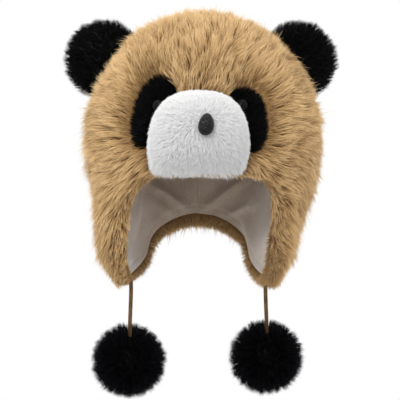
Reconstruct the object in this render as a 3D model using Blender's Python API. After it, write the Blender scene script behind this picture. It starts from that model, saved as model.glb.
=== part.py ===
"""Plush animal hat of the trapper kind, with earflaps and a pompom on a cord below each flap.

The origin is the top of the hollow, where the hat sits on a head. +Z is up, the face looks
along -Y, and left and right are as seen from the front. Every wall lies at a set distance from
one head form, the inside of the lining: lining, backing and pile are layers on it.
"""
import math

import bpy
from mathutils import Matrix, Vector

# Sizes of the whole hat, in metres.
GAP = 0.0003                   # left between pieces that are sewn together or set into each other
INNER_WIDTH = 0.176            # inside of the lining, ear to ear
INNER_DEPTH = 0.194            # inside of the lining, front to back
FLAP_DROP = 0.236              # top of the lining down to the lowest edge of the flaps
SEAM_DROP = 0.182              # top of the lining down to the seam that carries the flaps
FLAP_START = 0.038             # the flap seam stops this far from the middle of the nape

# Layers of the wall.
LINING = 0.0020
BACKING = 0.0025               # knitted ground of the pile
PILE = 0.0240                  # long tan pile, from the backing to its outer form
FRINGE = 0.0150                # how far the pile hangs past the sewn edge

# Face.
MUZZLE_WIDTH = 0.098
MUZZLE_HEIGHT = 0.078
MUZZLE_TOP_DROP = 0.0625       # top of the lining down to the top of the muzzle
MUZZLE_REACH = 0.066           # from the backing forward to the tip of the muzzle
MUZZLE_X = -0.0080             # the whole face is sewn on a little off the middle
MUZZLE_MIDDLE = 0.45           # share of its height at which its outline draws together
MUZZLE_ROOT = 0.22             # how far it starts inside the hat, a share of INNER_DEPTH
MUZZLE_SHOULDER = 0.12         # share of its reach that goes straight before it rounds
MUZZLE_FULLNESS = 0.85         # below 1 it stays full towards the tip
NOSE_WIDTH = 0.0145
NOSE_HEIGHT = 0.0198
NOSE_DEPTH = 0.011
NOSE_SINK = 0.12               # share of its depth that its middle lies inside the muzzle
NOSE_FLARE = 0.16              # how much wider it is at its foot than at its middle
NOSE_X = -0.0032
NOSE_DROP = 0.0962
PATCH_WIDTH = 0.046            # measured along the cloth
PATCH_HEIGHT = 0.070
PATCH_PILE = 0.009             # short black pile on the eye patch
PATCH_SHOULDER = 0.65          # share of its thickness at which its edge rounds off
PATCH_LEAN = math.radians(22)  # the tops of the patches lean towards the nose
PATCH_DROP = 0.0830
PATCH_SPREAD = 0.0350          # from EYES_X to the middle of a patch, on the head form
EYES_X = -0.0045               # the middle between the eyes
EYE_SIZE = 0.012
EYE_LIFT = 0.08                # share of its size that its middle stands above the patch
EYE_DROP = 0.0775
EYE_SPREAD = 0.0325            # from EYES_X to an eye, on the head form

# Ears.
EAR_WIDTH = 0.080
EAR_THICKNESS = 0.030
EAR_X = 0.0970
EAR_Y = 0.0020
EAR_DROP = 0.0230
EAR_CUP = 0.005                # how far the front of the ear is hollowed
EAR_FLATNESS = 0.75            # below 1 the ear is flatter than a plain oval
EAR_SWING = math.radians(8)    # each ear turns its front a little outwards

# Ties.
CORD_DIAMETER = 0.0040
CORD_STEP = 2.2                # points along the tube, in cord diameters
POMPOM_SIZE = 0.074
CORD_ROUTES = {                # x in halves of INNER_WIDTH, y, and how far below the flap's edge
    "left": [(-0.8091, -0.0020, 0.0005), (-0.7989, -0.0022, 0.0140), (-0.8045, -0.0021, 0.0320),
             (-0.8114, -0.0020, 0.0490), (-0.8136, -0.0020, 0.0660)],
    "right": [(0.7273, -0.0020, 0.0005), (0.7261, -0.0022, 0.0140), (0.7318, -0.0023, 0.0320),
              (0.7386, -0.0021, 0.0470), (0.7409, -0.0020, 0.0630)],
}
POMPOM_MIDDLES = {"left": (-0.8239, -0.0020, 0.0870), "right": (0.7330, -0.0020, 0.0840)}

# Head form, top to bottom. drop is a share of FLAP_DROP, width and sway are shares of half of
# INNER_WIDTH, front and back are shares of half of INNER_DEPTH.
FORM = [
    # drop, width, front,  back,   sway
    (0.000, 0.000, 0.000, 0.000, 0.000),
    (0.017, 0.284, 0.270, 0.290, 0.000),
    (0.051, 0.500, 0.480, 0.510, 0.005),
    (0.106, 0.693, 0.675, 0.710, 0.012),
    (0.190, 0.869, 0.850, 0.885, 0.025),
    (0.297, 0.972, 0.955, 0.985, 0.035),
    (0.402, 1.000, 0.985, 1.000, 0.035),
    (0.508, 1.000, 0.980, 0.985, 0.025),
    (0.615, 0.977, 0.960, 0.945, 0.005),
    (0.720, 0.932, 0.930, 0.900, -0.030),
    (0.826, 0.886, 0.900, 0.860, -0.055),
    (0.933, 0.825, 0.860, 0.820, -0.060),
    (1.013, 0.725, 0.820, 0.780, -0.055),
    (1.094, 0.640, 0.780, 0.720, -0.050),
]

# Sewn edge, from the middle of the brow round to the middle of the nape. Turns are in degrees,
# and differ because the right flap hangs a little further forward. drop is a share of FLAP_DROP,
# fringe is the share of FRINGE that hangs past the edge there.
EDGE = [
    # left turn, right turn, drop, fringe
    (0.0, 0.0, 0.580, 0.05),
    (26.0, 26.0, 0.582, 0.05),
    (40.0, 40.0, 0.599, 0.30),
    (49.0, 49.0, 0.634, 0.60),
    (56.5, 56.5, 0.688, 0.85),
    (62.0, 62.0, 0.760, 1.00),
    (66.0, 66.0, 0.836, 1.00),
    (70.0, 70.0, 0.905, 0.90),
    (76.0, 76.0, 0.957, 0.70),
    (84.0, 84.0, 0.988, 0.55),
    (93.0, 93.0, 1.000, 0.50),
    (105.0, 104.0, 0.997, 0.50),
    (114.0, 111.0, 0.989, 0.55),
    (123.0, 118.0, 0.976, 0.60),
    (131.5, 124.5, 0.957, 0.65),
    (138.0, 129.5, 0.930, 0.70),
    (142.0, 132.5, 0.893, 0.70),
    (145.5, 136.5, 0.853, 0.70),
    (152.0, 145.0, 0.815, 0.80),
    (161.0, 154.5, 0.782, 0.90),
    (171.0, 165.5, 0.757, 0.90),
    (180.0, 180.0, 0.746, 0.90),
]
EDGE_SIDES = {sign: [(row[column], row[2], row[3]) for row in EDGE]
              for sign, column in ((-1, 0), (1, 1))}

# Depth of the pile in shares of PILE, by drop as a share of FLAP_DROP.
PILE_DEPTH = [
    # drop, front, left,  right, back
    (0.00, 0.90, 0.90, 0.90, 0.90),
    (0.12, 0.95, 1.00, 1.00, 0.95),
    (0.25, 1.00, 1.07, 1.10, 1.00),
    (0.45, 1.00, 0.92, 1.18, 1.00),
    (0.60, 0.50, 0.76, 1.06, 1.00),
    (0.78, 0.50, 0.74, 0.88, 0.90),
    (1.00, 0.60, 0.76, 0.88, 0.80),
    (1.10, 0.60, 0.76, 0.88, 0.80),
]

# Rounded lower edge of the pile: depth is a share of the wall's thickness, hang of its fringe.
PILE_EDGE = [(0.94, 0.55), (0.65, 1.00), (0.20, 0.90), (0.03, 0.40)]

# Outline of the muzzle from the front: rise is a share of its height, half its width.
MUZZLE_OUTLINE = [
    # rise, half
    (1.00, 0.00),
    (0.985, 0.33),
    (0.93, 0.56),
    (0.84, 0.74),
    (0.70, 0.88),
    (0.50, 0.97),
    (0.30, 1.00),
    (0.13, 0.97),
    (0.03, 0.86),
    (0.00, 0.60),
    (0.00, 0.00),
]

# How finely the walls are divided.
HALF_COLUMNS = 25              # columns of facets on one side of the hat
WALL_ROWS = 8
MUZZLE_RINGS = 6
PATCH_RINGS = 2
PATCH_SECTORS = 18
BIG_BALL = (16, 10)            # sides and rings of an ear or a pompom
SMALL_BALL = (12, 7)           # sides and rings of the nose or an eye
CHANNEL_SIDES = 12             # sides of the channel that holds a cord


def remove_all_objects():
    """Start from an empty scene."""
    for item in list(bpy.data.objects):
        bpy.data.objects.remove(item, do_unlink=True)


def make_material(name, color, roughness, sheen=0.0):
    """A plain material of the piece's own colour."""
    material = bpy.data.materials.new(name)
    material.use_nodes = True
    shader = material.node_tree.nodes["Principled BSDF"]
    shader.inputs["Base Color"].default_value = (*color, 1.0)
    shader.inputs["Roughness"].default_value = roughness
    shader.inputs["Metallic"].default_value = 0.0
    shader.inputs["Sheen Weight"].default_value = sheen
    return material


TAN_PILE = ("tan_pile", (0.50, 0.32, 0.14), 0.85, 0.3)
PALE_LINING = ("pale_lining", (0.60, 0.58, 0.56), 0.80, 0.1)
BLACK_PILE = ("black_pile", (0.006, 0.006, 0.008), 0.80, 0.2)
WHITE_PILE = ("white_pile", (0.82, 0.83, 0.84), 0.85, 0.2)
BLACK_GLOSS = ("black_gloss", (0.004, 0.004, 0.004), 0.12, 0.0)
BROWN_CORD = ("brown_cord", (0.13, 0.075, 0.032), 0.75, 0.1)


def add_piece(name, verts, faces, finish):
    """One named object from a closed list of faces."""
    mesh = bpy.data.meshes.new(name)
    mesh.from_pydata([tuple(v) for v in verts], [], faces)
    mesh.update()
    piece = bpy.data.objects.new(name, mesh)
    bpy.context.scene.collection.objects.link(piece)
    mesh.materials.append(make_material(f"{name}_{finish[0]}", *finish[1:]))
    mesh.shade_smooth()
    mesh.set_sharp_from_angle(angle=math.radians(40))
    return piece


def add_cutter(name, verts, faces):
    """A guide that cuts other pieces and isn't built itself."""
    mesh = bpy.data.meshes.new(name)
    mesh.from_pydata([tuple(v) for v in verts], [], faces)
    mesh.update()
    cutter = bpy.data.objects.new(name, mesh)
    bpy.context.scene.collection.objects.link(cutter)
    cutter.hide_render = True
    cutter.display_type = "WIRE"
    return cutter


def combine(piece, cutter, operation):
    """Cut the piece with the cutter, or keep only what lies inside it."""
    boolean = piece.modifiers.new(f"{operation.lower()}_{cutter.name}", "BOOLEAN")
    boolean.operation = operation
    boolean.object = cutter
    boolean.solver = "EXACT"


def smooth_value(rows, place):
    """Read a table along a smooth curve through its rows; place counts rows from 0."""
    last = len(rows) - 1
    row = min(max(int(place), 0), last - 1)
    part = place - row
    before, start, end, after = (rows[max(row - 1, 0)], rows[row], rows[row + 1],
                                 rows[min(row + 2, last)])
    result = []
    for a, b, c, d in zip(before, start, end, after):
        slope_in, slope_out = (c - a) / 2, (d - b) / 2
        result.append(b + part * (slope_in + part * (
            3 * (c - b) - 2 * slope_in - slope_out
            + part * (2 * (b - c) + slope_in + slope_out))))
    return result


def place_of(rows, value):
    """The place in a table whose first column, which rises, reads this value."""
    low, high = 0.0, len(rows) - 1.0
    for _ in range(40):
        middle = (low + high) / 2
        if smooth_value(rows, middle)[0] < value:
            low = middle
        else:
            high = middle
    return (low + high) / 2


def mirrored_form():
    """The head form with a row over the top, so that the curve is level there."""
    over = FORM[1]
    return [(over[0], -over[1], -over[2], -over[3], over[4])] + FORM


ROUND_FORM = mirrored_form()
TOP_PLACE = 1.0
BOTTOM_PLACE = float(len(ROUND_FORM) - 1)


def form_place(drop):
    """The place in ROUND_FORM at a drop below the top, in metres."""
    low, high = TOP_PLACE, BOTTOM_PLACE
    for _ in range(40):
        middle = (low + high) / 2
        if smooth_value(ROUND_FORM, middle)[0] * FLAP_DROP < drop:
            low = middle
        else:
            high = middle
    return (low + high) / 2


def form_point(turn, place):
    """A point on the head form; turn runs from the brow, positive to the right."""
    drop, width, front, back, sway = smooth_value(ROUND_FORM, place)
    half_width, half_depth = INNER_WIDTH / 2, INNER_DEPTH / 2
    reach = front if math.cos(turn) > 0 else back
    return Vector(((sway + width * math.sin(turn)) * half_width,
                   -math.cos(turn) * reach * half_depth,
                   -drop * FLAP_DROP))


def form_normal(turn, place):
    """The direction straight out of the head form."""
    if place < TOP_PLACE + 1e-4:
        return Vector((0, 0, 1))
    step = 1e-3
    around = form_point(turn + step, place) - form_point(turn - step, place)
    down = form_point(turn, min(place + step, BOTTOM_PLACE)) - form_point(turn, place - step)
    return down.cross(around).normalized()


def layer_point(turn, place, out):
    """A point at a distance out from the head form."""
    return form_point(turn, place) + form_normal(turn, place) * out


def layer_at(turn, drop, out):
    """The same, by a drop below the top in metres."""
    return layer_point(turn, form_place(drop), out)


def pile_depth(turn, place):
    """How deep the long pile stands here."""
    drop = smooth_value(ROUND_FORM, place)[0]
    row = smooth_value(PILE_DEPTH, place_of(PILE_DEPTH, drop))
    front, left, right, back = row[1:]
    ahead, side = math.cos(turn), math.sin(turn)
    lengthwise = front if ahead > 0 else back
    crosswise = right if side > 0 else left
    return PILE * (lengthwise * ahead ** 2 + crosswise * side ** 2)


def edge_row(turn):
    """Drop and fringe, in metres, of the sewn edge at a turn from the brow."""
    rows = EDGE_SIDES[1 if turn > 0 else -1]
    row = smooth_value(rows, place_of(rows, abs(math.degrees(turn))))
    return row[1] * FLAP_DROP, row[2] * FRINGE


def side_turns(sign):
    """Turns that part one side of the sewn edge into equal lengths, from brow to nape."""
    fine = 400
    turns = [sign * math.pi * i / fine for i in range(fine + 1)]
    points = [form_point(t, form_place(edge_row(t)[0])) for t in turns]
    lengths = [0.0]
    for a, b in zip(points, points[1:]):
        lengths.append(lengths[-1] + (b - a).length)
    side, index = [], 0
    for column in range(HALF_COLUMNS + 1):
        target = lengths[-1] * column / HALF_COLUMNS
        while index < fine - 1 and lengths[index + 1] < target:
            index += 1
        part = (target - lengths[index]) / (lengths[index + 1] - lengths[index])
        side.append(turns[index] + part * (turns[index + 1] - turns[index]))
    side[-1] = sign * math.pi
    return side


def edge_turns():
    """Turns of all columns along the sewn edge, from nape round to nape."""
    return side_turns(-1)[:0:-1] + side_turns(1)[:-1]


EDGE_TURNS = edge_turns()


def wall_columns(row_count):
    """For each column, its turn and place in each row from the top down to the sewn edge."""
    columns = []
    count = len(EDGE_TURNS)
    for index, edge_turn in enumerate(EDGE_TURNS):
        even_turn = -math.pi + 2 * math.pi * index / count
        bottom = form_place(edge_row(edge_turn)[0])
        column = []
        for row in range(1, row_count + 1):
            share = row / row_count
            blend = share * share * (3 - 2 * share)
            turn = even_turn + (edge_turn - even_turn) * blend
            column.append((turn, TOP_PLACE + (bottom - TOP_PLACE) * share))
        columns.append(column)
    return columns


def skin_faces(column_count, ring_starts, first, last, turn_back=None):
    """Triangles between rings of equal length, with a fan to a point at each end.

    From ring number turn_back on, the skin runs back the other way, and its triangles are
    split along the other diagonal, so that the facets of two layers lie side by side.
    """
    faces = []
    for column in range(column_count):
        following = (column + 1) % column_count
        faces.append((first, ring_starts[0] + column, ring_starts[0] + following))
        for ring, (upper, lower) in enumerate(zip(ring_starts, ring_starts[1:])):
            a, b = upper + column, lower + column
            c, d = lower + following, upper + following
            if turn_back is not None and ring >= turn_back:
                faces += [(a, b, d), (b, c, d)]
            else:
                faces += [(a, b, c), (a, c, d)]
        faces.append((ring_starts[-1] + column, last, ring_starts[-1] + following))
    return faces


def wall(inner, thickness, has_fringe):
    """A closed wall over the whole head form, from one distance out to another.

    thickness is a function of turn and place. With a fringe, the outside rolls under the sewn
    edge, away from it along the cloth.
    """
    columns = wall_columns(WALL_ROWS)
    count = len(columns)
    rings = []
    for row in range(WALL_ROWS):
        rings.append([layer_point(*c[row], inner + thickness(*c[row])) for c in columns])
    if has_fringe:
        feet = [form_point(*c[-1]) for c in columns]
        outs = [form_normal(*c[-1]) for c in columns]
        away = []
        for i in range(count):
            along = feet[(i + 1) % count] - feet[i - 1]
            away.append(along.cross(outs[i]).normalized())
        for depth, hang in PILE_EDGE:
            ring = []
            for i, column in enumerate(columns):
                out = inner + depth * thickness(*column[-1])
                fringe = edge_row(column[-1][0])[1]
                ring.append(feet[i] + outs[i] * out + away[i] * (fringe * hang))
            rings.append(ring)
    turn_back = len(rings)
    for row in reversed(range(WALL_ROWS)):
        rings.append([layer_point(*c[row], inner) for c in columns])
    verts = [layer_point(0, TOP_PLACE, inner + thickness(0, TOP_PLACE))]
    starts = []
    for ring in rings:
        starts.append(len(verts))
        verts.extend(ring)
    verts.append(layer_point(0, TOP_PLACE, inner))
    return verts, skin_faces(count, starts, 0, len(verts) - 1, turn_back)


def cap_form(name, out):
    """A solid of all that lies inside a distance out from the head form."""
    count = 2 * HALF_COLUMNS
    turns = [-math.pi + 2 * math.pi * i / count for i in range(count)]
    verts = [layer_point(0, TOP_PLACE, out)]
    starts = []
    rows = int(BOTTOM_PLACE - TOP_PLACE)
    for row in range(1, rows + 1):
        place = TOP_PLACE + row
        starts.append(len(verts))
        verts.extend(layer_point(turn, place, out) for turn in turns)
    middle = sum((Vector(v) for v in verts[starts[-1]:]), Vector()) / count
    verts.append(middle)
    return add_cutter(name, verts, skin_faces(count, starts, 0, len(verts) - 1))


def box(name, low, high):
    """A box between two corners, as a cutter."""
    verts = [(x, y, z) for x in (low[0], high[0]) for y in (low[1], high[1])
             for z in (low[2], high[2])]
    faces = [(0, 1, 3, 2), (4, 6, 7, 5), (0, 4, 5, 1), (2, 3, 7, 6), (0, 2, 6, 4), (1, 5, 7, 3)]
    return add_cutter(name, verts, faces)


def ball(middle, radii, fineness, shape=None, turn=None):
    """A closed ball of given half sizes; shape moves a point of the unit ball first."""
    rotation = turn or Matrix.Identity(3)
    side_count, ring_count = fineness
    verts, starts = [], []

    def put(direction):
        point = Vector(direction)
        if shape:
            point = shape(point)
        sized = Vector(p * r for p, r in zip(point, radii))
        verts.append(Vector(middle) + rotation @ sized)

    put((0, 0, 1))
    for ring in range(1, ring_count):
        tilt = math.pi * ring / ring_count
        starts.append(len(verts))
        for side in range(side_count):
            angle = 2 * math.pi * side / side_count
            put((math.sin(tilt) * math.cos(angle), math.sin(tilt) * math.sin(angle),
                 math.cos(tilt)))
    put((0, 0, -1))
    return verts, skin_faces(side_count, starts, 0, len(verts) - 1)


SIDES = {"left": -1, "right": 1}
BACKING_IN = LINING + GAP               # inner face of the knitted backing
BACKING_OUT = BACKING_IN + BACKING      # where the pile is rooted
FAR = 0.5                               # reach of the boxes that part the pieces


def flap_box(side, grow, name):
    """The space of one flap: below the flap seam, away from the middle of the nape."""
    sign = SIDES[side]
    near, far = sign * (FLAP_START - grow), sign * FAR
    return box(name, (min(near, far), -FAR, -FAR), (max(near, far), FAR, -SEAM_DROP + grow))


def half_box(side, name):
    """One side of the hat, up to the seam in the middle."""
    sign = SIDES[side]
    near, far = sign * GAP / 2, sign * FAR
    return box(name, (min(near, far), -FAR, -FAR), (max(near, far), FAR, FAR))


def build_walls():
    """The tan crown and flaps and their lining, parted at the flap seam."""
    def pile_wall(turn, place):
        return BACKING + pile_depth(turn, place)

    def lining_wall(turn, place):
        return LINING

    tan = wall(BACKING_IN, pile_wall, True)
    pale = wall(0.0, lining_wall, False)
    crown = add_piece("crown_fur", *tan, TAN_PILE)
    for side in SIDES:
        flap_space = flap_box(side, 0.0, f"flap_space_{side}")
        parting = flap_box(side, GAP, f"flap_parting_{side}")
        half = half_box(side, f"half_{side}")
        combine(crown, parting, "DIFFERENCE")
        combine(add_piece(f"ear_flap_{side}", *tan, TAN_PILE), flap_space, "INTERSECT")
        combine(add_piece(f"flap_lining_{side}", *pale, PALE_LINING), flap_space, "INTERSECT")
        crown_lining = add_piece(f"crown_lining_{side}", *pale, PALE_LINING)
        combine(crown_lining, half, "INTERSECT")
        combine(crown_lining, parting, "DIFFERENCE")
    return crown


def muzzle_mesh(grow):
    """The stuffed muzzle: its outline drawn in towards the tip, ring by ring."""
    outline = []
    for rise, half in MUZZLE_OUTLINE:
        outline.append((half * MUZZLE_WIDTH / 2, rise * MUZZLE_HEIGHT))
    loop = outline[:-1] + [(-x, z) for x, z in outline[-2:0:-1]]
    low_z = -MUZZLE_TOP_DROP - MUZZLE_HEIGHT
    centre_z = low_z + MUZZLE_HEIGHT * MUZZLE_MIDDLE
    base = layer_at(0.0, NOSE_DROP, BACKING_OUT).y
    back = base + INNER_DEPTH * MUZZLE_ROOT
    tip = base - MUZZLE_REACH - grow
    tip_x = (MUZZLE_X + NOSE_X) / 2

    def ring(size, y):
        """The outline drawn in to a size, rounder and nearer the nose further forward."""
        lean = (back - y) / (back - tip)
        middle = Vector((MUZZLE_X + (tip_x - MUZZLE_X) * lean ** 2, y,
                         centre_z + (-NOSE_DROP - centre_z) * lean ** 2))
        points = []
        for x, z in loop:
            spoke = Vector((x, 0.0, low_z + z - centre_z))
            oval = Vector((spoke.x / MUZZLE_WIDTH, 0.0, spoke.z / MUZZLE_HEIGHT)).normalized()
            oval = Vector((oval.x * MUZZLE_WIDTH / 2, 0.0, oval.z * MUZZLE_HEIGHT / 2))
            spoke = spoke.lerp(oval, lean ** 3) * size
            points.append(middle + spoke + spoke.normalized() * grow)
        return points

    rings = [ring(1.0, back + grow)]
    shoulder = base - MUZZLE_REACH * MUZZLE_SHOULDER
    for step in range(MUZZLE_RINGS + 1):
        bend = math.pi / 2 * step / (MUZZLE_RINGS + 1)
        rings.append(ring(math.cos(bend) ** MUZZLE_FULLNESS, shoulder + (tip - shoulder) * math.sin(bend)))
    verts = [Vector((MUZZLE_X, back + grow, centre_z))]
    starts = []
    for points in rings:
        starts.append(len(verts))
        verts.extend(points)
    verts.append(Vector((tip_x, tip, -NOSE_DROP)))
    return verts, skin_faces(len(loop), starts, 0, len(verts) - 1)


def turn_at(x, drop):
    """The turn, on the front of the head form, of a point at x and a drop below the top."""
    _, width, _, _, sway = smooth_value(ROUND_FORM, form_place(drop))
    return math.asin((x / (INNER_WIDTH / 2) - sway) / width)


def patch_mesh(side, grow, top):
    """A pad on the backing with a leaning oval outline; top is its outer distance."""
    lean = -SIDES[side] * PATCH_LEAN
    middle_turn = turn_at(EYES_X + SIDES[side] * PATCH_SPREAD, PATCH_DROP)
    radius = INNER_WIDTH / 2 + BACKING_OUT
    bottom = BACKING_IN

    def pad_ring(size, out):
        points = []
        for sector in range(PATCH_SECTORS):
            angle = 2 * math.pi * sector / PATCH_SECTORS
            wide = (PATCH_WIDTH / 2 * size + grow) * math.cos(angle)
            tall = (PATCH_HEIGHT / 2 * size + grow) * math.sin(angle)
            across = wide * math.cos(lean) + tall * math.sin(lean)
            up = tall * math.cos(lean) - wide * math.sin(lean)
            points.append(layer_at(middle_turn + across / radius, PATCH_DROP - up, out))
        return points

    shoulder = bottom + (top - bottom) * PATCH_SHOULDER
    rings = [pad_ring(row / PATCH_RINGS, bottom) for row in range(1, PATCH_RINGS + 1)]
    rings.append(pad_ring(1.0, shoulder))
    rings += [pad_ring(row / PATCH_RINGS, top) for row in range(PATCH_RINGS - 1, 0, -1)]
    verts = [layer_at(middle_turn, PATCH_DROP, bottom)]
    starts = []
    for ring in rings:
        starts.append(len(verts))
        verts.extend(ring)
    verts.append(layer_at(middle_turn, PATCH_DROP, top))
    return verts, skin_faces(PATCH_SECTORS, starts, 0, len(verts) - 1)


def facing_out(verts, faces):
    """The same faces, turned over if they enclose a negative volume."""
    volume = 0.0
    for face in faces:
        a = Vector(verts[face[0]])
        for j in range(1, len(face) - 1):
            volume += a.dot(Vector(verts[face[j]]).cross(Vector(verts[face[j + 1]])))
    if volume > 0:
        return verts, faces
    return verts, [tuple(reversed(face)) for face in faces]


def build_face(crown):
    """Muzzle, nose, patches and eyes, each let into what carries it."""
    on_backing = cap_form("inside_backing", BACKING_OUT)
    clear_of_backing = cap_form("inside_backing_and_gap", BACKING_OUT + GAP)

    muzzle_verts, muzzle_faces = facing_out(*muzzle_mesh(0.0))
    muzzle = add_piece("muzzle", muzzle_verts, muzzle_faces, WHITE_PILE)
    combine(muzzle, clear_of_backing, "DIFFERENCE")
    muzzle_space = add_cutter("muzzle_space", *facing_out(*muzzle_mesh(GAP)))
    combine(muzzle_space, on_backing, "DIFFERENCE")
    combine(crown, muzzle_space, "DIFFERENCE")

    nose_y = min(v.y for v in muzzle_verts) + NOSE_DEPTH * NOSE_SINK
    nose_middle = (NOSE_X, nose_y, -NOSE_DROP)

    def egg(point):
        """Wider below the middle than above it."""
        widen = 1.0 - NOSE_FLARE * point.z
        return Vector((point.x * widen, point.y, point.z))

    def nose_mesh(grow):
        radii = (NOSE_WIDTH / 2 + grow, NOSE_DEPTH / 2 + grow, NOSE_HEIGHT / 2 + grow)
        return facing_out(*ball(nose_middle, radii, SMALL_BALL, egg))

    add_piece("nose", *nose_mesh(0.0), BLACK_GLOSS)
    combine(muzzle, add_cutter("nose_space", *nose_mesh(GAP)), "DIFFERENCE")

    for side, sign in SIDES.items():
        patch_top = BACKING_OUT + PATCH_PILE
        patch = add_piece(f"eye_patch_{side}", *facing_out(*patch_mesh(side, 0.0, patch_top)),
                          BLACK_PILE)
        combine(patch, clear_of_backing, "DIFFERENCE")
        combine(patch, muzzle_space, "DIFFERENCE")
        patch_space = add_cutter(f"patch_space_{side}",
                                 *facing_out(*patch_mesh(side, GAP, BACKING_OUT + 2 * PILE)))
        combine(patch_space, on_backing, "DIFFERENCE")
        combine(crown, patch_space, "DIFFERENCE")

        eye_turn = turn_at(EYES_X + sign * EYE_SPREAD, EYE_DROP)
        eye_middle = layer_at(eye_turn, EYE_DROP, patch_top + EYE_SIZE * EYE_LIFT)

        def eye_mesh(grow):
            radii = (EYE_SIZE / 2 + grow,) * 3
            return facing_out(*ball(eye_middle, radii, SMALL_BALL))

        add_piece(f"eye_{side}", *eye_mesh(0.0), BLACK_GLOSS)
        eye_space = add_cutter(f"eye_space_{side}", *eye_mesh(GAP))
        combine(patch, eye_space, "DIFFERENCE")
        combine(muzzle, eye_space, "DIFFERENCE")
    return on_backing, clear_of_backing


def build_ears(crown, on_backing, clear_of_backing):
    """Round padded ears that stand on the backing among the pile."""
    def dish(point):
        """Flattened towards a disc, with a hollow in its front."""
        rim = math.hypot(point.x, point.z)
        hollow = (EAR_CUP / (EAR_THICKNESS / 2)) * max(0.0, 1.0 - rim * rim)
        full = math.copysign(abs(point.y) ** EAR_FLATNESS, point.y)
        return Vector((point.x, full + (hollow if point.y < 0 else 0.0), point.z))

    for side, sign in SIDES.items():
        middle = (sign * EAR_X, EAR_Y, -EAR_DROP)
        swing = Matrix.Rotation(sign * EAR_SWING, 3, "Z")

        def ear_mesh(grow):
            radii = (EAR_WIDTH / 2 + grow, EAR_THICKNESS / 2 + grow, EAR_WIDTH / 2 + grow)
            return facing_out(*ball(middle, radii, BIG_BALL, dish, swing))

        ear = add_piece(f"ear_{side}", *ear_mesh(0.0), BLACK_PILE)
        combine(ear, clear_of_backing, "DIFFERENCE")
        ear_space = add_cutter(f"ear_space_{side}", *ear_mesh(GAP))
        combine(ear_space, on_backing, "DIFFERENCE")
        combine(crown, ear_space, "DIFFERENCE")


def even_points(route, step):
    """Points a step apart along the smooth curve through a route."""
    fine = 24
    count = (len(route) - 1) * fine
    curve = [Vector(smooth_value(route, i / fine)) for i in range(count + 1)]
    lengths = [0.0]
    for a, b in zip(curve, curve[1:]):
        lengths.append(lengths[-1] + (b - a).length)
    parts = max(2, round(lengths[-1] / step))
    points = []
    for i in range(parts + 1):
        target = lengths[-1] * i / parts
        index = next(k for k in range(count) if lengths[k + 1] >= target - 1e-12)
        share = (target - lengths[index]) / (lengths[index + 1] - lengths[index])
        points.append(curve[index].lerp(curve[index + 1], share))
    return points


def hung(point):
    """A point given as in CORD_ROUTES."""
    across, y, below = point
    return across * INNER_WIDTH / 2, y, -FLAP_DROP - below


def channel_mesh(points):
    """The space of a cord in what it passes into, GAP wider and longer than the cord."""
    radius = (CORD_DIAMETER / 2 + GAP) / math.cos(math.pi / CHANNEL_SIDES)
    ends = [points[0] + (points[0] - points[1]).normalized() * GAP,
            points[-1] + (points[-1] - points[-2]).normalized() * GAP]
    verts, starts = [ends[0]], []
    for point in [ends[0]] + points[1:-1] + [ends[1]]:
        starts.append(len(verts))
        for side in range(CHANNEL_SIDES):
            angle = 2 * math.pi * side / CHANNEL_SIDES
            verts.append(point + radius * Vector((math.cos(angle), math.sin(angle), 0.0)))
    verts.append(ends[1])
    return verts, skin_faces(CHANNEL_SIDES, starts, 0, len(verts) - 1)


def build_ties():
    """A cord from the edge of each flap, and the pompom that it ends in."""
    for side in SIDES:
        name = f"tie_cord_{side}"
        route = [hung(point) for point in CORD_ROUTES[side]]
        points = even_points(route, CORD_DIAMETER * CORD_STEP)
        curve = bpy.data.curves.new(name, "CURVE")
        curve.dimensions = "3D"
        curve.bevel_depth = CORD_DIAMETER / 2
        curve.bevel_resolution = 2
        curve.use_fill_caps = True
        spline = curve.splines.new("POLY")
        spline.points.add(len(points) - 1)
        for knot, point in zip(spline.points, points):
            knot.co = (*point, 1.0)
        cord = bpy.data.objects.new(name, curve)
        bpy.context.scene.collection.objects.link(cord)
        curve.materials.append(make_material(f"{name}_{BROWN_CORD[0]}", *BROWN_CORD[1:]))

        cord_space = add_cutter(f"cord_space_{side}", *facing_out(*channel_mesh(points)))
        combine(bpy.data.objects[f"ear_flap_{side}"], cord_space, "DIFFERENCE")
        pompom_mesh = ball(hung(POMPOM_MIDDLES[side]), (POMPOM_SIZE / 2,) * 3, BIG_BALL)
        pompom = add_piece(f"pompom_{side}", *facing_out(*pompom_mesh), BLACK_PILE)
        combine(pompom, cord_space, "DIFFERENCE")


def build_hat():
    remove_all_objects()
    crown = build_walls()
    on_backing, clear_of_backing = build_face(crown)
    build_ears(crown, on_backing, clear_of_backing)
    build_ties()


build_hat()
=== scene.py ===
import math

import bpy
import numpy as np
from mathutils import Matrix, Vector, kdtree


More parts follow.
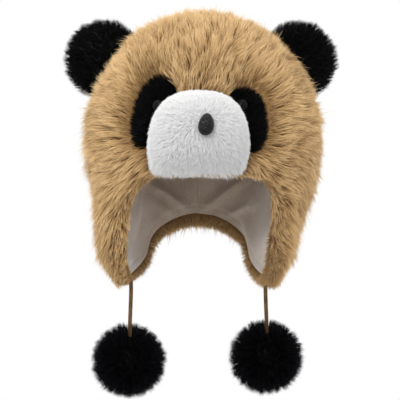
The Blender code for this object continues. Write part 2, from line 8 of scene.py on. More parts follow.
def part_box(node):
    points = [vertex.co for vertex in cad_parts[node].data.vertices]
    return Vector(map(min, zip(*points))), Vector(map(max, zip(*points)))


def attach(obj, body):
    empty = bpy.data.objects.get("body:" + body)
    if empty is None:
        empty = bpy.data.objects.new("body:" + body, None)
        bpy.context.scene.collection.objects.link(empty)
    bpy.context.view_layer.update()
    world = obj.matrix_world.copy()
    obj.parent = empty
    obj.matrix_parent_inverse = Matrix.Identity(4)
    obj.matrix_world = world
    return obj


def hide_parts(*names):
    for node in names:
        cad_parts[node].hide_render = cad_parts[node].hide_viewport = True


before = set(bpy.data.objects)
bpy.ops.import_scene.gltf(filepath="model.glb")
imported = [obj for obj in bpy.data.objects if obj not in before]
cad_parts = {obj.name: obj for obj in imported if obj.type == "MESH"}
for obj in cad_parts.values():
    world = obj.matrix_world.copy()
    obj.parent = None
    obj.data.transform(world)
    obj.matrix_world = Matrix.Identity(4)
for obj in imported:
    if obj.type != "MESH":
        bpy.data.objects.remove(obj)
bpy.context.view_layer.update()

# Camera, floor and lights. The hat hangs as it is worn, a little above a plain pale floor, seen
# level with its muzzle and a hair from its right. A pale sky lights it from all round, with a
# wide lamp in front, one above, and a small one that leaves a glint on what is glossy.
VIEW_MIDDLE = (-0.0015, 0.0, -0.163)
VIEW_DISTANCE = 1.4
VIEW_TURN = math.radians(-2.5)
VIEW_HEIGHT = 0.4                       # what the frame takes in at the hat
FLOOR_Z = -0.40

camera_data = bpy.data.cameras.new("camera")
camera_data.sensor_width = 36.0
camera_data.angle = 2 * math.atan(VIEW_HEIGHT / 2 / VIEW_DISTANCE)
camera = bpy.data.objects.new("camera", camera_data)
camera.location = Vector(VIEW_MIDDLE) + VIEW_DISTANCE * Vector(
    (math.sin(VIEW_TURN), -math.cos(VIEW_TURN), 0.0))
camera.rotation_euler = (math.pi / 2, 0.0, VIEW_TURN)
bpy.context.scene.collection.objects.link(camera)
bpy.context.scene.camera = camera
bpy.context.scene.view_settings.view_transform = "Standard"

world = bpy.data.worlds.new("studio")
world.use_nodes = True
world_tree = world.node_tree
world_tree.nodes["Background"].inputs["Color"].default_value = (1.0, 1.0, 1.0, 1.0)
world_way = world_tree.nodes.new("ShaderNodeTexCoord")
world_parts = world_tree.nodes.new("ShaderNodeSeparateXYZ")
world_fade = world_tree.nodes.new("ShaderNodeMapRange")     # less light from below
for key, value in {"From Min": -0.60, "From Max": -0.20, "To Min": 0.85, "To Max": 1.0}.items():
    world_fade.inputs[key].default_value = value
world_tree.links.new(world_way.outputs["Generated"], world_parts.inputs["Vector"])
world_tree.links.new(world_parts.outputs["Z"], world_fade.inputs["Value"])
world_tree.links.new(world_fade.outputs["Result"],
                     world_tree.nodes["Background"].inputs["Strength"])
bpy.context.scene.world = world


def add_light(name, place, aim, size, power):
    """A square soft light at a place, turned to what it lights."""
    data = bpy.data.lights.new(name, "AREA")
    data.shape = "SQUARE"
    data.size = size
    data.energy = power
    light = bpy.data.objects.new(name, data)
    light.location = place
    light.rotation_euler = (Vector(aim) - Vector(place)).to_track_quat("-Z", "Y").to_euler()
    bpy.context.scene.collection.objects.link(light)


add_light("key", (-0.5, -1.6, 1.3), (0.0, 0.0, -0.1), 1.2, 13.0)
add_light("top", (0.2, 0.1, 1.6), (0.0, 0.0, -0.1), 1.4, 8.0)
add_light("glint", (-0.42, -1.15, 0.32), (0.0, -0.15, -0.10), 0.12, 3.5)

floor_mesh = bpy.data.meshes.new("floor")
floor_ring = [(0.24 * math.cos(math.tau * i / 96), 0.24 * math.sin(math.tau * i / 96), FLOOR_Z)
              for i in range(96)]
floor_mesh.from_pydata(floor_ring, [], [tuple(range(96))])
floor = bpy.data.objects.new("floor", floor_mesh)
bpy.context.scene.collection.objects.link(floor)
floor_finish = bpy.data.materials.new("pale_floor")
floor_finish.use_nodes = True
floor_shader = floor_finish.node_tree.nodes["Principled BSDF"]
floor_shader.inputs["Base Color"].default_value = (0.8, 0.8, 0.8, 1.0)
floor_shader.inputs["Roughness"].default_value = 0.9
floor_shader.inputs["Specular IOR Level"].default_value = 0.1
floor_mesh.materials.append(floor_finish)


# Tie cords: one flat suede lace from the lowest point of each flap, sewn in between pile and
# lining, and run into the pompom. It hangs straight but for the slight bends of its storage.
LACE_WIDTH = 0.0040
LACE_THICKNESS = 0.0022
LACE_ROUTES = {
    "left": [(-0.0712, -0.0020, -0.2365), (-0.0703, -0.0022, -0.2500),
             (-0.0708, -0.0021, -0.2680), (-0.0714, -0.0020, -0.2850),
             (-0.0716, -0.0020, -0.3020)],
    "right": [(0.0640, -0.0020, -0.2365), (0.0639, -0.0022, -0.2500),
              (0.0644, -0.0023, -0.2680), (0.0650, -0.0021, -0.2830),
              (0.0652, -0.0020, -0.2990)],
}
SIDES = {"left": -1, "right": 1}


def read(rows, place):
    """Read a table along a smooth curve through its rows; place counts rows from 0."""
    rows, place = np.asarray(rows, float), np.asarray(place, float)
    last = len(rows) - 1
    row = np.clip(place.astype(int), 0, last - 1)
    part = (place - row)[..., None]
    a, b, c, d = (rows[np.clip(row + k, 0, last)] for k in (-1, 0, 1, 2))
    slope_in, slope_out = (c - a) / 2, (d - b) / 2
    return b + part * (slope_in + part * (3 * (c - b) - 2 * slope_in - slope_out
                                          + part * (2 * (b - c) + slope_in + slope_out)))


def unit(vectors):
    """The same directions, one long."""
    return vectors / np.maximum(np.linalg.norm(vectors, axis=-1, keepdims=True), 1e-12)


def add_mesh(name, verts, faces, finish, palette=None, sharp=None):
    """One mesh piece. faces is a list of index arrays with 3 or 4 columns. palette gives each
    corner its place in the colours of a pile, as a map that the finish reads."""
    mesh = bpy.data.meshes.new(name)
    verts = np.asarray(verts, np.float32)
    mesh.vertices.add(len(verts))
    mesh.vertices.foreach_set("co", verts.ravel())
    corners = np.concatenate([f.ravel() for f in faces]).astype(np.int32)
    sizes = np.concatenate([np.full(len(f), f.shape[1]) for f in faces])
    starts = np.concatenate([[0], np.cumsum(sizes)[:-1]]).astype(np.int32)
    mesh.loops.add(len(corners))
    mesh.loops.foreach_set("vertex_index", corners)
    mesh.polygons.add(len(sizes))
    mesh.polygons.foreach_set("loop_start", starts)
    mesh.update(calc_edges=True)
    if palette is not None:
        layer = mesh.uv_layers.new(name="OFBake")
        layer.data.foreach_set("uv", np.asarray(palette, np.float32)[corners].ravel())
    mesh.shade_smooth()
    if sharp is not None:
        mesh.set_sharp_from_angle(angle=math.radians(sharp))
    mesh.materials.append(finish)
    piece = bpy.data.objects.new(name, mesh)
    bpy.context.scene.collection.objects.link(piece)
    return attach(piece, "root")


def new_finish(name, roughness, specular=0.3, sheen=0.0, sheen_roughness=0.5):
    """A material with its even values set, and its nodes, shader and a maker of links."""
    finish = bpy.data.materials.new(name)
    finish.use_nodes = True
    tree = finish.node_tree
    shader = tree.nodes["Principled BSDF"]
    shader.inputs["Roughness"].default_value = roughness
    shader.inputs["Specular IOR Level"].default_value = specular
    shader.inputs["Sheen Weight"].default_value = sheen
    shader.inputs["Sheen Roughness"].default_value = sheen_roughness
    return finish, tree, shader


def add_node(tree, kind, inputs=(), **settings):
    """A node with its settings, and its inputs set to numbers or linked to outputs."""
    node = tree.nodes.new(kind)
    for key, value in settings.items():
        setattr(node, key, value)
    for key, value in dict(inputs).items():
        if isinstance(value, bpy.types.NodeSocket):
            tree.links.new(value, node.inputs[key])
        else:
            node.inputs[key].default_value = value
    return node


def add_ramp(tree, factor, stops):
    """A run of colours along a number."""
    ramp = add_node(tree, "ShaderNodeValToRGB", {"Fac": factor})
    while len(ramp.color_ramp.elements) < len(stops):
        ramp.color_ramp.elements.new(0.5)
    for element, (place, color) in zip(ramp.color_ramp.elements, stops):
        element.position = place
        element.color = (*color, 1.0)
    return ramp.outputs["Color"]


def add_product(tree, color, other):
    """Two colours multiplied."""
    mix = add_node(tree, "ShaderNodeMix", data_type="RGBA", blend_type="MULTIPLY")
    mix.inputs["Factor"].default_value = 1.0
    tree.links.new(color, mix.inputs[6])
    tree.links.new(other, mix.inputs[7])
    return mix.outputs[2]


def lace_finish():
    """Brown suede: short nap, paler where it is rubbed."""
    finish, tree, shader = new_finish("brown_suede", 0.85, 0.15, 0.25)
    place = add_node(tree, "ShaderNodeTexCoord").outputs["Object"]
    nap = add_node(tree, "ShaderNodeTexNoise", {"Vector": place, "Scale": 900.0, "Detail": 3.0})
    rub = add_node(tree, "ShaderNodeTexNoise", {"Vector": place, "Scale": 130.0, "Detail": 2.0})
    nap_color = add_ramp(tree, nap.outputs["Fac"], [(0.3, (0.060, 0.033, 0.013)),
                                                    (0.7, (0.155, 0.088, 0.040))])
    rub_color = add_ramp(tree, rub.outputs["Fac"], [(0.35, (0.75, 0.72, 0.70)),
                                                    (0.65, (1.30, 1.25, 1.15))])
    tree.links.new(add_product(tree, nap_color, rub_color), shader.inputs["Base Color"])
    bump = add_node(tree, "ShaderNodeBump", {"Height": nap.outputs["Fac"], "Strength": 0.5,
                                             "Distance": 0.0003})
    tree.links.new(bump.outputs["Normal"], shader.inputs["Normal"])
    return finish


def lace_outline(count):
    """The lace cut across: flat faces with rounded edges."""
    turns = np.linspace(0, math.tau, count, endpoint=False)
    across = np.sign(np.cos(turns)) * np.abs(np.cos(turns)) ** 0.55
    deep = np.sign(np.sin(turns)) * np.abs(np.sin(turns)) ** 0.75
    return across * LACE_WIDTH / 2, deep * LACE_THICKNESS / 2


def make_lace(side, finish):
    """The lace swept along its route, turning a little on the way down."""
    fine = read(LACE_ROUTES[side], np.linspace(0, len(LACE_ROUTES[side]) - 1, 61))
    steps = len(fine)
    along = unit(np.gradient(fine, axis=0))
    twist = SIDES[side] * np.radians(np.linspace(6, 24, steps))
    width_way = np.stack([np.cos(twist), np.sin(twist), np.zeros(steps)], 1)
    depth_way = unit(np.cross(along, width_way))
    width_way = np.cross(depth_way, along)
    across, deep = lace_outline(20)
    rings = (fine[:, None] + width_way[:, None] * across[None, :, None]
             + depth_way[:, None] * deep[None, :, None])
    count = rings.shape[1]
    verts = np.concatenate([rings.reshape(-1, 3), fine[[0, -1]]])
    i, j = np.meshgrid(np.arange(steps - 1), np.arange(count), indexing="ij")
    a, b = i * count + j, i * count + (j + 1) % count
    quads = np.stack([a, b, b + count, a + count], -1).reshape(-1, 4)
    k = np.arange(count)
    top = np.stack([np.full(count, steps * count), (k + 1) % count, k], 1)
    low = (steps - 1) * count
    foot = np.stack([np.full(count, steps * count + 1), low + k, low + (k + 1) % count], 1)
    lace = add_mesh(f"lace_{side}", verts, [quads, np.concatenate([top, foot])], finish)
    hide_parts(f"tie_cord_{side}")
    return lace, fine


suede = lace_finish()
laces = {side: make_lace(side, suede) for side in SIDES}


# Pompoms: long black fur gathered into a ball round the end of each lace. A dark core carries
# the hairs, which stand out evenly and gather into loose points.
POMPOM_MIDDLES = {"left": (-0.0725, -0.0020, -0.3230), "right": (0.0645, -0.0020, -0.3200)}
POMPOM_REACH = 0.0385
POMPOM_CORE = 0.0240
POMPOM_HAIRS = 13000
POMPOM_TUFT = 12                        # hairs to a tuft


def pile_finish(name, stops, tints, roughness, specular, sheen):
    """The finish of a pile: colours from root to tip, times a tint that differs hair by hair."""
    finish, tree, shader = new_finish(name, roughness, specular, sheen, 0.4)
    palette = add_node(tree, "ShaderNodeUVMap", uv_map="OFBake")
    parts = add_node(tree, "ShaderNodeSeparateXYZ", {"Vector": palette.outputs["UV"]})
    length_color = add_ramp(tree, parts.outputs["Y"], stops)
    tint_color = add_ramp(tree, parts.outputs["X"], tints)
    tree.links.new(add_product(tree, length_color, tint_color), shader.inputs["Base Color"])
    return finish


def hair_lines(roots, stands, leans, lengths, angle_in, angle_out, steps):
    """Hairs as lines of points: each starts at angle_in from its stand towards its lean and
    bends over to angle_out at its tip."""
    points = [roots]
    for step in range(steps):
        share = (step + 0.5) / steps
        angle = (angle_in + (angle_out - angle_in) * share)[:, None]
        way = stands * np.cos(angle) + leans * np.sin(angle)
        points.append(points[-1] + way * (lengths / steps)[:, None])
    return np.stack(points, 1)


def gather(lines, groups, leaders, pull, power=1.4):
    """Draw hairs towards the line of the hair that leads their tuft, most at the tip."""
    share = np.linspace(0, 1, lines.shape[1]) ** power
    drawn = lines[leaders][groups]
    return lines + (drawn - lines) * (share[None, :, None] * pull[:, None, None])


def tufts(roots, count, rng):
    """Split hairs into tufts round leading hairs; gives each hair's tuft and the leaders."""
    leaders = rng.choice(len(roots), count, replace=False)
    tree = kdtree.KDTree(count)
    for number, leader in enumerate(leaders):
        tree.insert(roots[leader], number)
    tree.balance()
    groups = np.array([tree.find(point)[1] for point in roots])
    return groups, leaders


def add_pile(name, lines, faces_out, widths, tints, finish, rng, taper=1.5, twist=0.6):
    """Flat tapered hairs along their lines, each turned a little about itself."""
    count, points = lines.shape[:2]
    along = unit(np.gradient(lines, axis=1))
    side = unit(np.cross(along, faces_out[:, None]))
    lift = np.cross(side, along)
    turn = rng.normal(0, twist, count)[:, None, None]
    side = side * np.cos(turn) + lift * np.sin(turn)
    share = np.linspace(0, 1, points)
    half = widths[:, None] / 2 * (1 - share[None, :] ** taper * 0.96)
    left = lines[:, :-1] - side[:, :-1] * half[:, :-1, None]
    right = lines[:, :-1] + side[:, :-1] * half[:, :-1, None]
    verts = np.concatenate([np.stack([left, right], 2).reshape(count, -1, 3),
                            lines[:, -1:]], 1)
    per = verts.shape[1]
    base = np.arange(count)[:, None] * per
    quads = [np.concatenate([base + 2 * k, base + 2 * k + 1, base + 2 * k + 3, base + 2 * k + 2],
                            1) for k in range(points - 2)]
    tips = np.concatenate([base + per - 3, base + per - 2, base + per - 1], 1)
    u = np.clip(tints, 0.02, 0.98)[:, None]
    palette = np.zeros((count, per, 2))
    palette[:, 0:-1:2, 0], palette[:, 1:-1:2, 0], palette[:, -1:, 0] = u - 0.003, u + 0.003, u
    palette[:, :, 1] = np.append(np.repeat(share[:-1], 2), 1.0) * 0.98 + 0.01
    faces = ([np.concatenate(quads)] if quads else []) + [tips]
    return add_mesh(name, verts.reshape(-1, 3), faces, finish, palette.reshape(-1, 2))


def sphere_points(count):
    """Directions spread evenly over a ball."""
    index = np.arange(count) + 0.5
    tilt = np.arccos(1 - 2 * index / count)
    turn = index * math.pi * (1 + math.sqrt(5))
    return np.stack([np.sin(tilt) * np.cos(turn), np.sin(tilt) * np.sin(turn), np.cos(tilt)], 1)


def ball_grid(sides, rings):
    """Directions and faces of a closed ball."""
    tilt = np.linspace(0, math.pi, rings + 1)[1:-1]
    turn = np.linspace(0, math.tau, sides, endpoint=False)
    t, s = np.meshgrid(tilt, turn, indexing="ij")
    middle = np.stack([np.sin(t) * np.cos(s), np.sin(t) * np.sin(s), np.cos(t)], -1)
    verts = np.concatenate([[(0, 0, 1)], middle.reshape(-1, 3), [(0, 0, -1)]])
    i, j = np.meshgrid(np.arange(rings - 2), np.arange(sides), indexing="ij")
    a, b = 1 + i * sides + j, 1 + i * sides + (j + 1) % sides
    quads = np.stack([a, a + sides, b + sides, b], -1).reshape(-1, 4)
    k = np.arange(sides)
    caps = np.concatenate([
        np.stack([np.zeros(sides, int), 1 + k, 1 + (k + 1) % sides], 1),
        np.stack([np.full(sides, len(verts) - 1), len(verts) - 1 - sides + (k + 1) % sides,
                  len(verts) - 1 - sides + k], 1)])
    return verts, [quads, caps]


def plain_palette(count, tint, share):
    """One place in a pile's colours for a whole ground."""
    return np.tile([tint, share], (count, 1)) + np.random.default_rng(4).uniform(
        -0.004, 0.004, (count, 2))


black_fur = pile_finish("black_long_fur",
                        [(0.0, (0.0009, 0.0010, 0.0012)), (0.5, (0.0020, 0.0022, 0.0028)),
                         (1.0, (0.0052, 0.0056, 0.0074))],
                        [(0.0, (0.5, 0.5, 0.5)), (1.0, (1.5, 1.5, 1.6))], 0.55, 0.10, 0.012)


def make_pompom(side):
    """A core and the hairs that stand on it."""
    rng = np.random.default_rng(11 if side == "left" else 12)
    middle = np.array(POMPOM_MIDDLES[side])
    core_ways, core_faces = ball_grid(48, 32)
    core = add_mesh(f"pompom_core_{side}", middle + core_ways * POMPOM_CORE, core_faces,
                    black_fur, plain_palette(len(core_ways), 0.4, 0.3))
    ways = sphere_points(POMPOM_HAIRS)
    ways = unit(ways + rng.normal(0, 0.02, ways.shape))
    groups, leaders = tufts(ways, POMPOM_HAIRS // POMPOM_TUFT, rng)
    leans = unit(np.cross(ways, unit(rng.normal(0, 1, (len(leaders), 3)))[groups]))
    leans = unit(leans + np.cross(ways, rng.normal(0, 0.6, ways.shape)))
    depth = POMPOM_CORE * 0.9
    lengths = (POMPOM_REACH - depth) * rng.normal(1.0, 0.05, len(leaders))[groups]
    lengths *= rng.uniform(0.90, 1.05, POMPOM_HAIRS)
    angle_in = np.abs(rng.normal(0.08, 0.10, POMPOM_HAIRS))
    angle_out = angle_in + np.abs(rng.normal(0.30, 0.15, POMPOM_HAIRS))
    lines = hair_lines(middle + ways * depth, ways, leans, lengths * 1.03, angle_in, angle_out, 3)
    lines = gather(lines, groups, leaders, rng.uniform(0.15, 0.60, POMPOM_HAIRS))
    lace, path = laces[side]
    aside = np.abs(lines[:, 1:, 0] - path[-1, 0]) > LACE_WIDTH * 0.62
    below = lines[:, 1:, 2] < path[-1, 2] + 0.002
    kept = (aside | below | (lines[:, 1:, 1] > path[-1, 1])).all(1)
    tints = rng.uniform(0.2, 0.8, kept.sum())
    hairs = add_pile(f"pompom_fur_{side}", lines[kept], unit(np.cross(leans, ways))[kept],
                     rng.uniform(0.0005, 0.0009, kept.sum()), tints, black_fur, rng, twist=1.2)
    for piece in (core, hairs):
        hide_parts(f"pompom_{side}")


for side in SIDES:
    make_pompom(side)


# Crown and earflaps: long tan pile knitted on a backing. The crown is closed at the top, the
# flaps are sewn to its lower edge, and the pile hangs past every sewn edge. The nap is combed
# away from the face, back over the head and down at the sides.
INNER_WIDTH = 0.176
INNER_DEPTH = 0.194
FLAP_DROP = 0.236
SEAM_DROP = 0.182
FLAP_START = 0.038
LINING_OUT = 0.0020
PILE_ROOT = 0.0048                      # outside of the backing, from the head form
PILE = 0.0240
UNDERCOAT = 0.46                        # share of the pile that stands too dense to see into
FRINGE = 0.0150
TAN_HAIRS = 90000
TAN_TUFT = 15                           # hairs to a tuft
TAN_LENGTH = 0.0195
HEM_HAIRS = 16000

HEAD_FORM = [
    # drop, width, front, back, sway
    (0.017, -0.284, -0.270, -0.290, 0.000),
    (0.000, 0.000, 0.000, 0.000, 0.000),
    (0.017, 0.284, 0.270, 0.290, 0.000),
    (0.051, 0.500, 0.480, 0.510, 0.005),
    (0.106, 0.693, 0.675, 0.710, 0.012),
    (0.190, 0.869, 0.850, 0.885, 0.025),
    (0.297, 0.972, 0.955, 0.985, 0.035),
    (0.402, 1.000, 0.985, 1.000, 0.035),
    (0.508, 1.000, 0.980, 0.985, 0.025),
    (0.615, 0.977, 0.960, 0.945, 0.005),
    (0.720, 0.932, 0.930, 0.900, -0.030),
    (0.826, 0.886, 0.900, 0.860, -0.055),
    (0.933, 0.825, 0.860, 0.820, -0.060),
    (1.013, 0.725, 0.820, 0.780, -0.055),
    (1.094, 0.640, 0.780, 0.720, -0.050),
]
SEWN_EDGE = [
    # left turn and right turn in degrees, drop, fringe
    (0.0, 0.0, 0.580, 0.05), (26.0, 26.0, 0.582, 0.05), (40.0, 40.0, 0.599, 0.30),
    (49.0, 49.0, 0.634, 0.60), (56.5, 56.5, 0.688, 0.85), (62.0, 62.0, 0.760, 1.00),
    (66.0, 66.0, 0.836, 1.00), (70.0, 70.0, 0.905, 0.90), (76.0, 76.0, 0.957, 0.70),
    (84.0, 84.0, 0.988, 0.55), (93.0, 93.0, 1.000, 0.50), (105.0, 104.0, 0.997, 0.50),
    (114.0, 111.0, 0.989, 0.55), (123.0, 118.0, 0.976, 0.60), (131.5, 124.5, 0.957, 0.65),
    (138.0, 129.5, 0.930, 0.70), (142.0, 132.5, 0.893, 0.70), (145.5, 136.5, 0.853, 0.70),
    (152.0, 145.0, 0.815, 0.80), (161.0, 154.5, 0.782, 0.90), (171.0, 165.5, 0.757, 0.90),
    (180.0, 180.0, 0.746, 0.90),
]
PILE_DEPTH = [
    # drop, front, left, right, back
    (0.00, 0.90, 0.90, 0.90, 0.90),
    (0.12, 0.95, 1.00, 1.00, 0.95),
    (0.25, 1.00, 1.07, 1.10, 1.00),
    (0.45, 1.00, 0.92, 1.18, 1.00),
    (0.60, 0.50, 0.76, 1.06, 1.00),
    (0.78, 0.50, 0.74, 0.88, 0.90),
    (1.00, 0.60, 0.76, 0.88, 0.80),
    (1.10, 0.60, 0.76, 0.88, 0.80),
]
FORM_PLACES = np.linspace(1.0, len(HEAD_FORM) - 1.0, 3000)
FORM_DROPS = read(HEAD_FORM, FORM_PLACES)[:, 0]


def place_at(drop):
    """The place in the table of the head form at a drop below the top, in metres."""
    return np.interp(np.asarray(drop) / FLAP_DROP, FORM_DROPS, FORM_PLACES)


def form_point(turn, place):
    """A point on the head form; turn runs from the brow, positive to the right."""
    drop, width, front, back, sway = np.moveaxis(read(HEAD_FORM, place), -1, 0)
    reach = np.where(np.cos(turn) > 0, front, back)
    return np.stack([(sway + width * np.sin(turn)) * INNER_WIDTH / 2,
                     -np.cos(turn) * reach * INNER_DEPTH / 2, -drop * FLAP_DROP], -1)


def form_normal(turn, place):
    """The way straight out of the head form."""
    step = 1e-3
    place = np.maximum(place, 1.002)
    around = form_point(turn + step, place) - form_point(turn - step, place)
    down = form_point(turn, place + step) - form_point(turn, place - step)
    return unit(np.cross(down, around))


def pile_depth(turn, place):
    """How deep the pile stands here."""
    drop = read(HEAD_FORM, place)[..., 0]
    table = np.asarray(PILE_DEPTH)
    fine = np.linspace(0, len(table) - 1, 400)
    rows = read(table, np.interp(drop, read(table, fine)[:, 0], fine))
    front, left, right, back = np.moveaxis(rows[..., 1:], -1, 0)
    lengthwise = np.where(np.cos(turn) > 0, front, back)
    crosswise = np.where(np.sin(turn) > 0, right, left)
    return PILE * (lengthwise * np.cos(turn) ** 2 + crosswise * np.sin(turn) ** 2)


def edge_row(turn):
    """Drop and fringe, in metres, of the sewn edge at a turn from the brow."""
    rows = read(SEWN_EDGE, np.linspace(0, len(SEWN_EDGE) - 1, 2000))
    turned = np.abs(np.degrees(turn))
    drop, fringe = (np.where(np.asarray(turn) > 0, np.interp(turned, rows[:, 1], rows[:, k]),
                             np.interp(turned, rows[:, 0], rows[:, k])) for k in (2, 3))
    return drop * FLAP_DROP, fringe * FRINGE


def wall_grid(columns, rows, dense=1.0):
    """Turns and places of a net over the head form from the top to the sewn edge. Its columns
    part the edge into equal lengths, or into shorter ones to the back if dense is above 1."""
    sides = []
    for sign in (-1, 1):
        turns = sign * np.linspace(0, math.pi, 1500)
        edge = form_point(turns, place_at(edge_row(turns)[0]))
        run = np.concatenate([[0], np.cumsum(np.linalg.norm(np.diff(edge, axis=0), axis=1))])
        shares = 1 - (1 - np.linspace(0, 1, columns // 2 + 1)) ** dense
        sides.append(np.interp(shares * run[-1], run, turns))
    edge_turns = np.concatenate([sides[0][:0:-1], sides[1][:-1]])
    even_turns = -math.pi + math.tau * np.arange(columns) / columns
    share = 1 - (1 - np.linspace(0, 1, rows + 1)[1:, None]) ** dense
    blend = share * share * (3 - 2 * share)
    turn = even_turns + (edge_turns - even_turns) * blend
    bottom = place_at(edge_row(edge_turns)[0])
    return turn, 1.0 + (bottom - 1.0) * share


def ring_faces(first, rows, columns):
    """Faces between rings of equal length, that look outwards where the rings go down."""
    i, j = np.meshgrid(np.arange(rows - 1), np.arange(columns), indexing="ij")
    a, b = first + i * columns + j, first + i * columns + (j + 1) % columns
    return np.stack([a, a + columns, b + columns, b], -1).reshape(-1, 4)


def turn_at(x, drop):
    """The turn, on the front of the head form, of a point at x and a drop below the top."""
    _, width, _, _, sway = read(HEAD_FORM, place_at(drop))
    return math.asin((x / (INNER_WIDTH / 2) - sway) / width)


# what the tan pile leaves free of each patch: middle, width and height along the cloth, and lean
PATCHES = {"left": (turn_at(-0.0425, 0.0838), 0.0838, 0.0430, 0.0640, math.radians(16)),
           "right": (turn_at(0.0325, 0.0905), 0.0905, 0.0400, 0.0540, math.radians(-3))}
PATCH_POWER = 2.5                       # above 2 the outline is fuller than an oval


def patch_reach(turn, drop, side):
    """How far out from the middle of an eye patch: 1 is its edge."""
    middle_turn, middle_drop, width, height, lean = PATCHES[side]
    across = (turn - middle_turn) * (INNER_WIDTH / 2 + PILE_ROOT)
    up = middle_drop - drop
    wide = across * math.cos(lean) - up * math.sin(lean)
    tall = across * math.sin(lean) + up * math.cos(lean)
    return (np.abs(wide / (width / 2)) ** PATCH_POWER
            + np.abs(tall / (height / 2)) ** PATCH_POWER) ** (1 / PATCH_POWER)


def ease(value, low, high):
    """0 below low, 1 above high, and smooth between."""
    share = np.clip((value - low) / (high - low), 0, 1)
    return share * share * (3 - 2 * share)


def coat_wall(columns, rows):
    """The undercoat's outside with its rounded edge: points, stands of the hairs on it, and
    where on the hat they are."""
    turn, place = wall_grid(columns, rows)
    drop = read(HEAD_FORM, place)[..., 0] * FLAP_DROP
    reach = np.minimum(patch_reach(turn, drop, "left"), patch_reach(turn, drop, "right"))
    out = pile_depth(turn, place) * UNDERCOAT * (0.12 + 0.88 * ease(reach, 0.92, 1.22))
    normal = form_normal(turn, place)
    points = form_point(turn, place) + normal * (PILE_ROOT + out)[..., None]
    feet = form_point(turn[-1], place[-1])
    along = np.roll(feet, -1, 0) - np.roll(feet, 1, 0)
    away = unit(np.cross(along, normal[-1]))
    hang = edge_row(turn[-1])[1]
    rings, stands = [points], [normal]
    for depth, share, angle in ((0.93, 0.30, 35), (0.72, 0.52, 62), (0.42, 0.60, 85),
                                (0.10, 0.50, 105)):
        level = LINING_OUT + 0.0004 + (PILE_ROOT - LINING_OUT + out[-1]) * depth
        ring = feet + normal[-1] * level[:, None] + away * (hang * share)[:, None]
        rings.append(ring[None])
        stands.append(unit(normal[-1] * math.cos(math.radians(angle))
                           + away * math.sin(math.radians(angle)))[None])
    return (np.concatenate(rings), np.concatenate(stands),
            np.concatenate([turn] + [turn[-1:]] * 4), np.concatenate([drop] + [drop[-1:]] * 4))


COAT_COLUMNS, COAT_ROWS = 200, 80
coat, coat_stand, coat_turn, coat_drop = coat_wall(COAT_COLUMNS, COAT_ROWS)


def piece_of(points):
    """Which sewn piece of the tan pile a point belongs to."""
    low = points[:, 2] < -SEAM_DROP
    return np.where(low & (points[:, 0] < -FLAP_START), "ear_flap_left",
                    np.where(low & (points[:, 0] > FLAP_START), "ear_flap_right", "crown_fur"))


# the pile's roots are dark partly in its own colour and partly as painted shade deep in the pile,
# between its tufts
tan_fur = pile_finish("tan_long_pile",
                      [(0.0, (0.200, 0.105, 0.034)), (0.30, (0.400, 0.240, 0.095)),
                       (0.65, (0.650, 0.435, 0.205)), (1.0, (0.820, 0.610, 0.340))],
                      [(0.0, (0.62, 0.56, 0.47)), (0.5, (0.98, 0.96, 0.93)),
                       (1.0, (1.16, 1.18, 1.22))], 0.62, 0.20, 0.20)


def make_undercoat():
    """The dense lower pile on its backing, in the three pieces it is sewn from."""
    rows = coat.shape[0]
    inner_turn, inner_place = wall_grid(COAT_COLUMNS, 24)
    inner = (form_point(inner_turn, inner_place)
             + form_normal(inner_turn, inner_place) * (LINING_OUT + 0.0003))
    pole_out = form_point(0.0, 1.0) + (0, 0, PILE_ROOT + PILE * 0.9 * UNDERCOAT)
    pole_in = form_point(0.0, 1.0) + (0, 0, LINING_OUT + 0.0003)
    verts = np.concatenate([coat.reshape(-1, 3), inner[::-1].reshape(-1, 3),
                            [pole_out, pole_in]])
    total = rows + len(inner)
    quads = ring_faces(0, total, COAT_COLUMNS)
    k = np.arange(COAT_COLUMNS)
    last = (total - 1) * COAT_COLUMNS
    caps = np.concatenate([
        np.stack([np.full(COAT_COLUMNS, len(verts) - 2), k, (k + 1) % COAT_COLUMNS], 1),
        np.stack([np.full(COAT_COLUMNS, len(verts) - 1), last + (k + 1) % COAT_COLUMNS,
                  last + k], 1)])
    quad_piece, cap_piece = (piece_of(verts[f].mean(1)) for f in (quads, caps))
    for node in ("crown_fur", "ear_flap_left", "ear_flap_right"):
        faces = [f[p == node] for f, p in ((quads, quad_piece), (caps, cap_piece))]
        used, fresh = np.unique(np.concatenate([f.ravel() for f in faces if len(f)]),
                                return_inverse=True)
        parts, at = [], 0
        for f in faces:
            if len(f):
                parts.append(fresh[at:at + f.size].reshape(f.shape))
                at += f.size
        name = node.replace("crown_fur", "crown").replace("ear_flap", "flap") + "_undercoat"
        # the undercoat takes the root colour: partly the pile's own colour, partly painted shade
        # in the dense lower pile
        piece = add_mesh(name, verts[used], parts, tan_fur, plain_palette(len(used), 0.35, 0.10))
        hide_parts(node)


make_undercoat()


def scatter(grid, count, rng, weight=1.0):
    """Even random places on a net of rings: cell numbers and shares within the cell."""
    a, b = grid[:-1], grid[1:]
    a_next, b_next = np.roll(a, -1, 1), np.roll(b, -1, 1)
    area = (np.linalg.norm(np.cross(b_next - a, b - a_next), axis=-1) * weight).ravel()
    cells = rng.choice(area.size, count, p=area / area.sum())
    return np.unravel_index(cells, a.shape[:2]) + (rng.random(count), rng.random(count))


def on_net(values, row, column, down, across):
    """Values of a net of rings read at places within its cells."""
    following = (column + 1) % values.shape[1]
    if values.ndim == 3:
        down, across = down[:, None], across[:, None]
    upper = values[row, column] * (1 - across) + values[row, following] * across
    lower = values[row + 1, column] * (1 - across) + values[row + 1, following] * across
    return upper * (1 - down) + lower * down


def waves(points, size, seed):
    """A slow random value, about -1 to 1, that changes over a size."""
    rng = np.random.default_rng(seed)
    ways = unit(rng.normal(0, 1, (7, 3))) * rng.uniform(0.7, 1.6, (7, 1))
    return np.sin(points @ ways.T * (math.tau / size) + rng.uniform(0, math.tau, 7)).sum(1) / 2.6


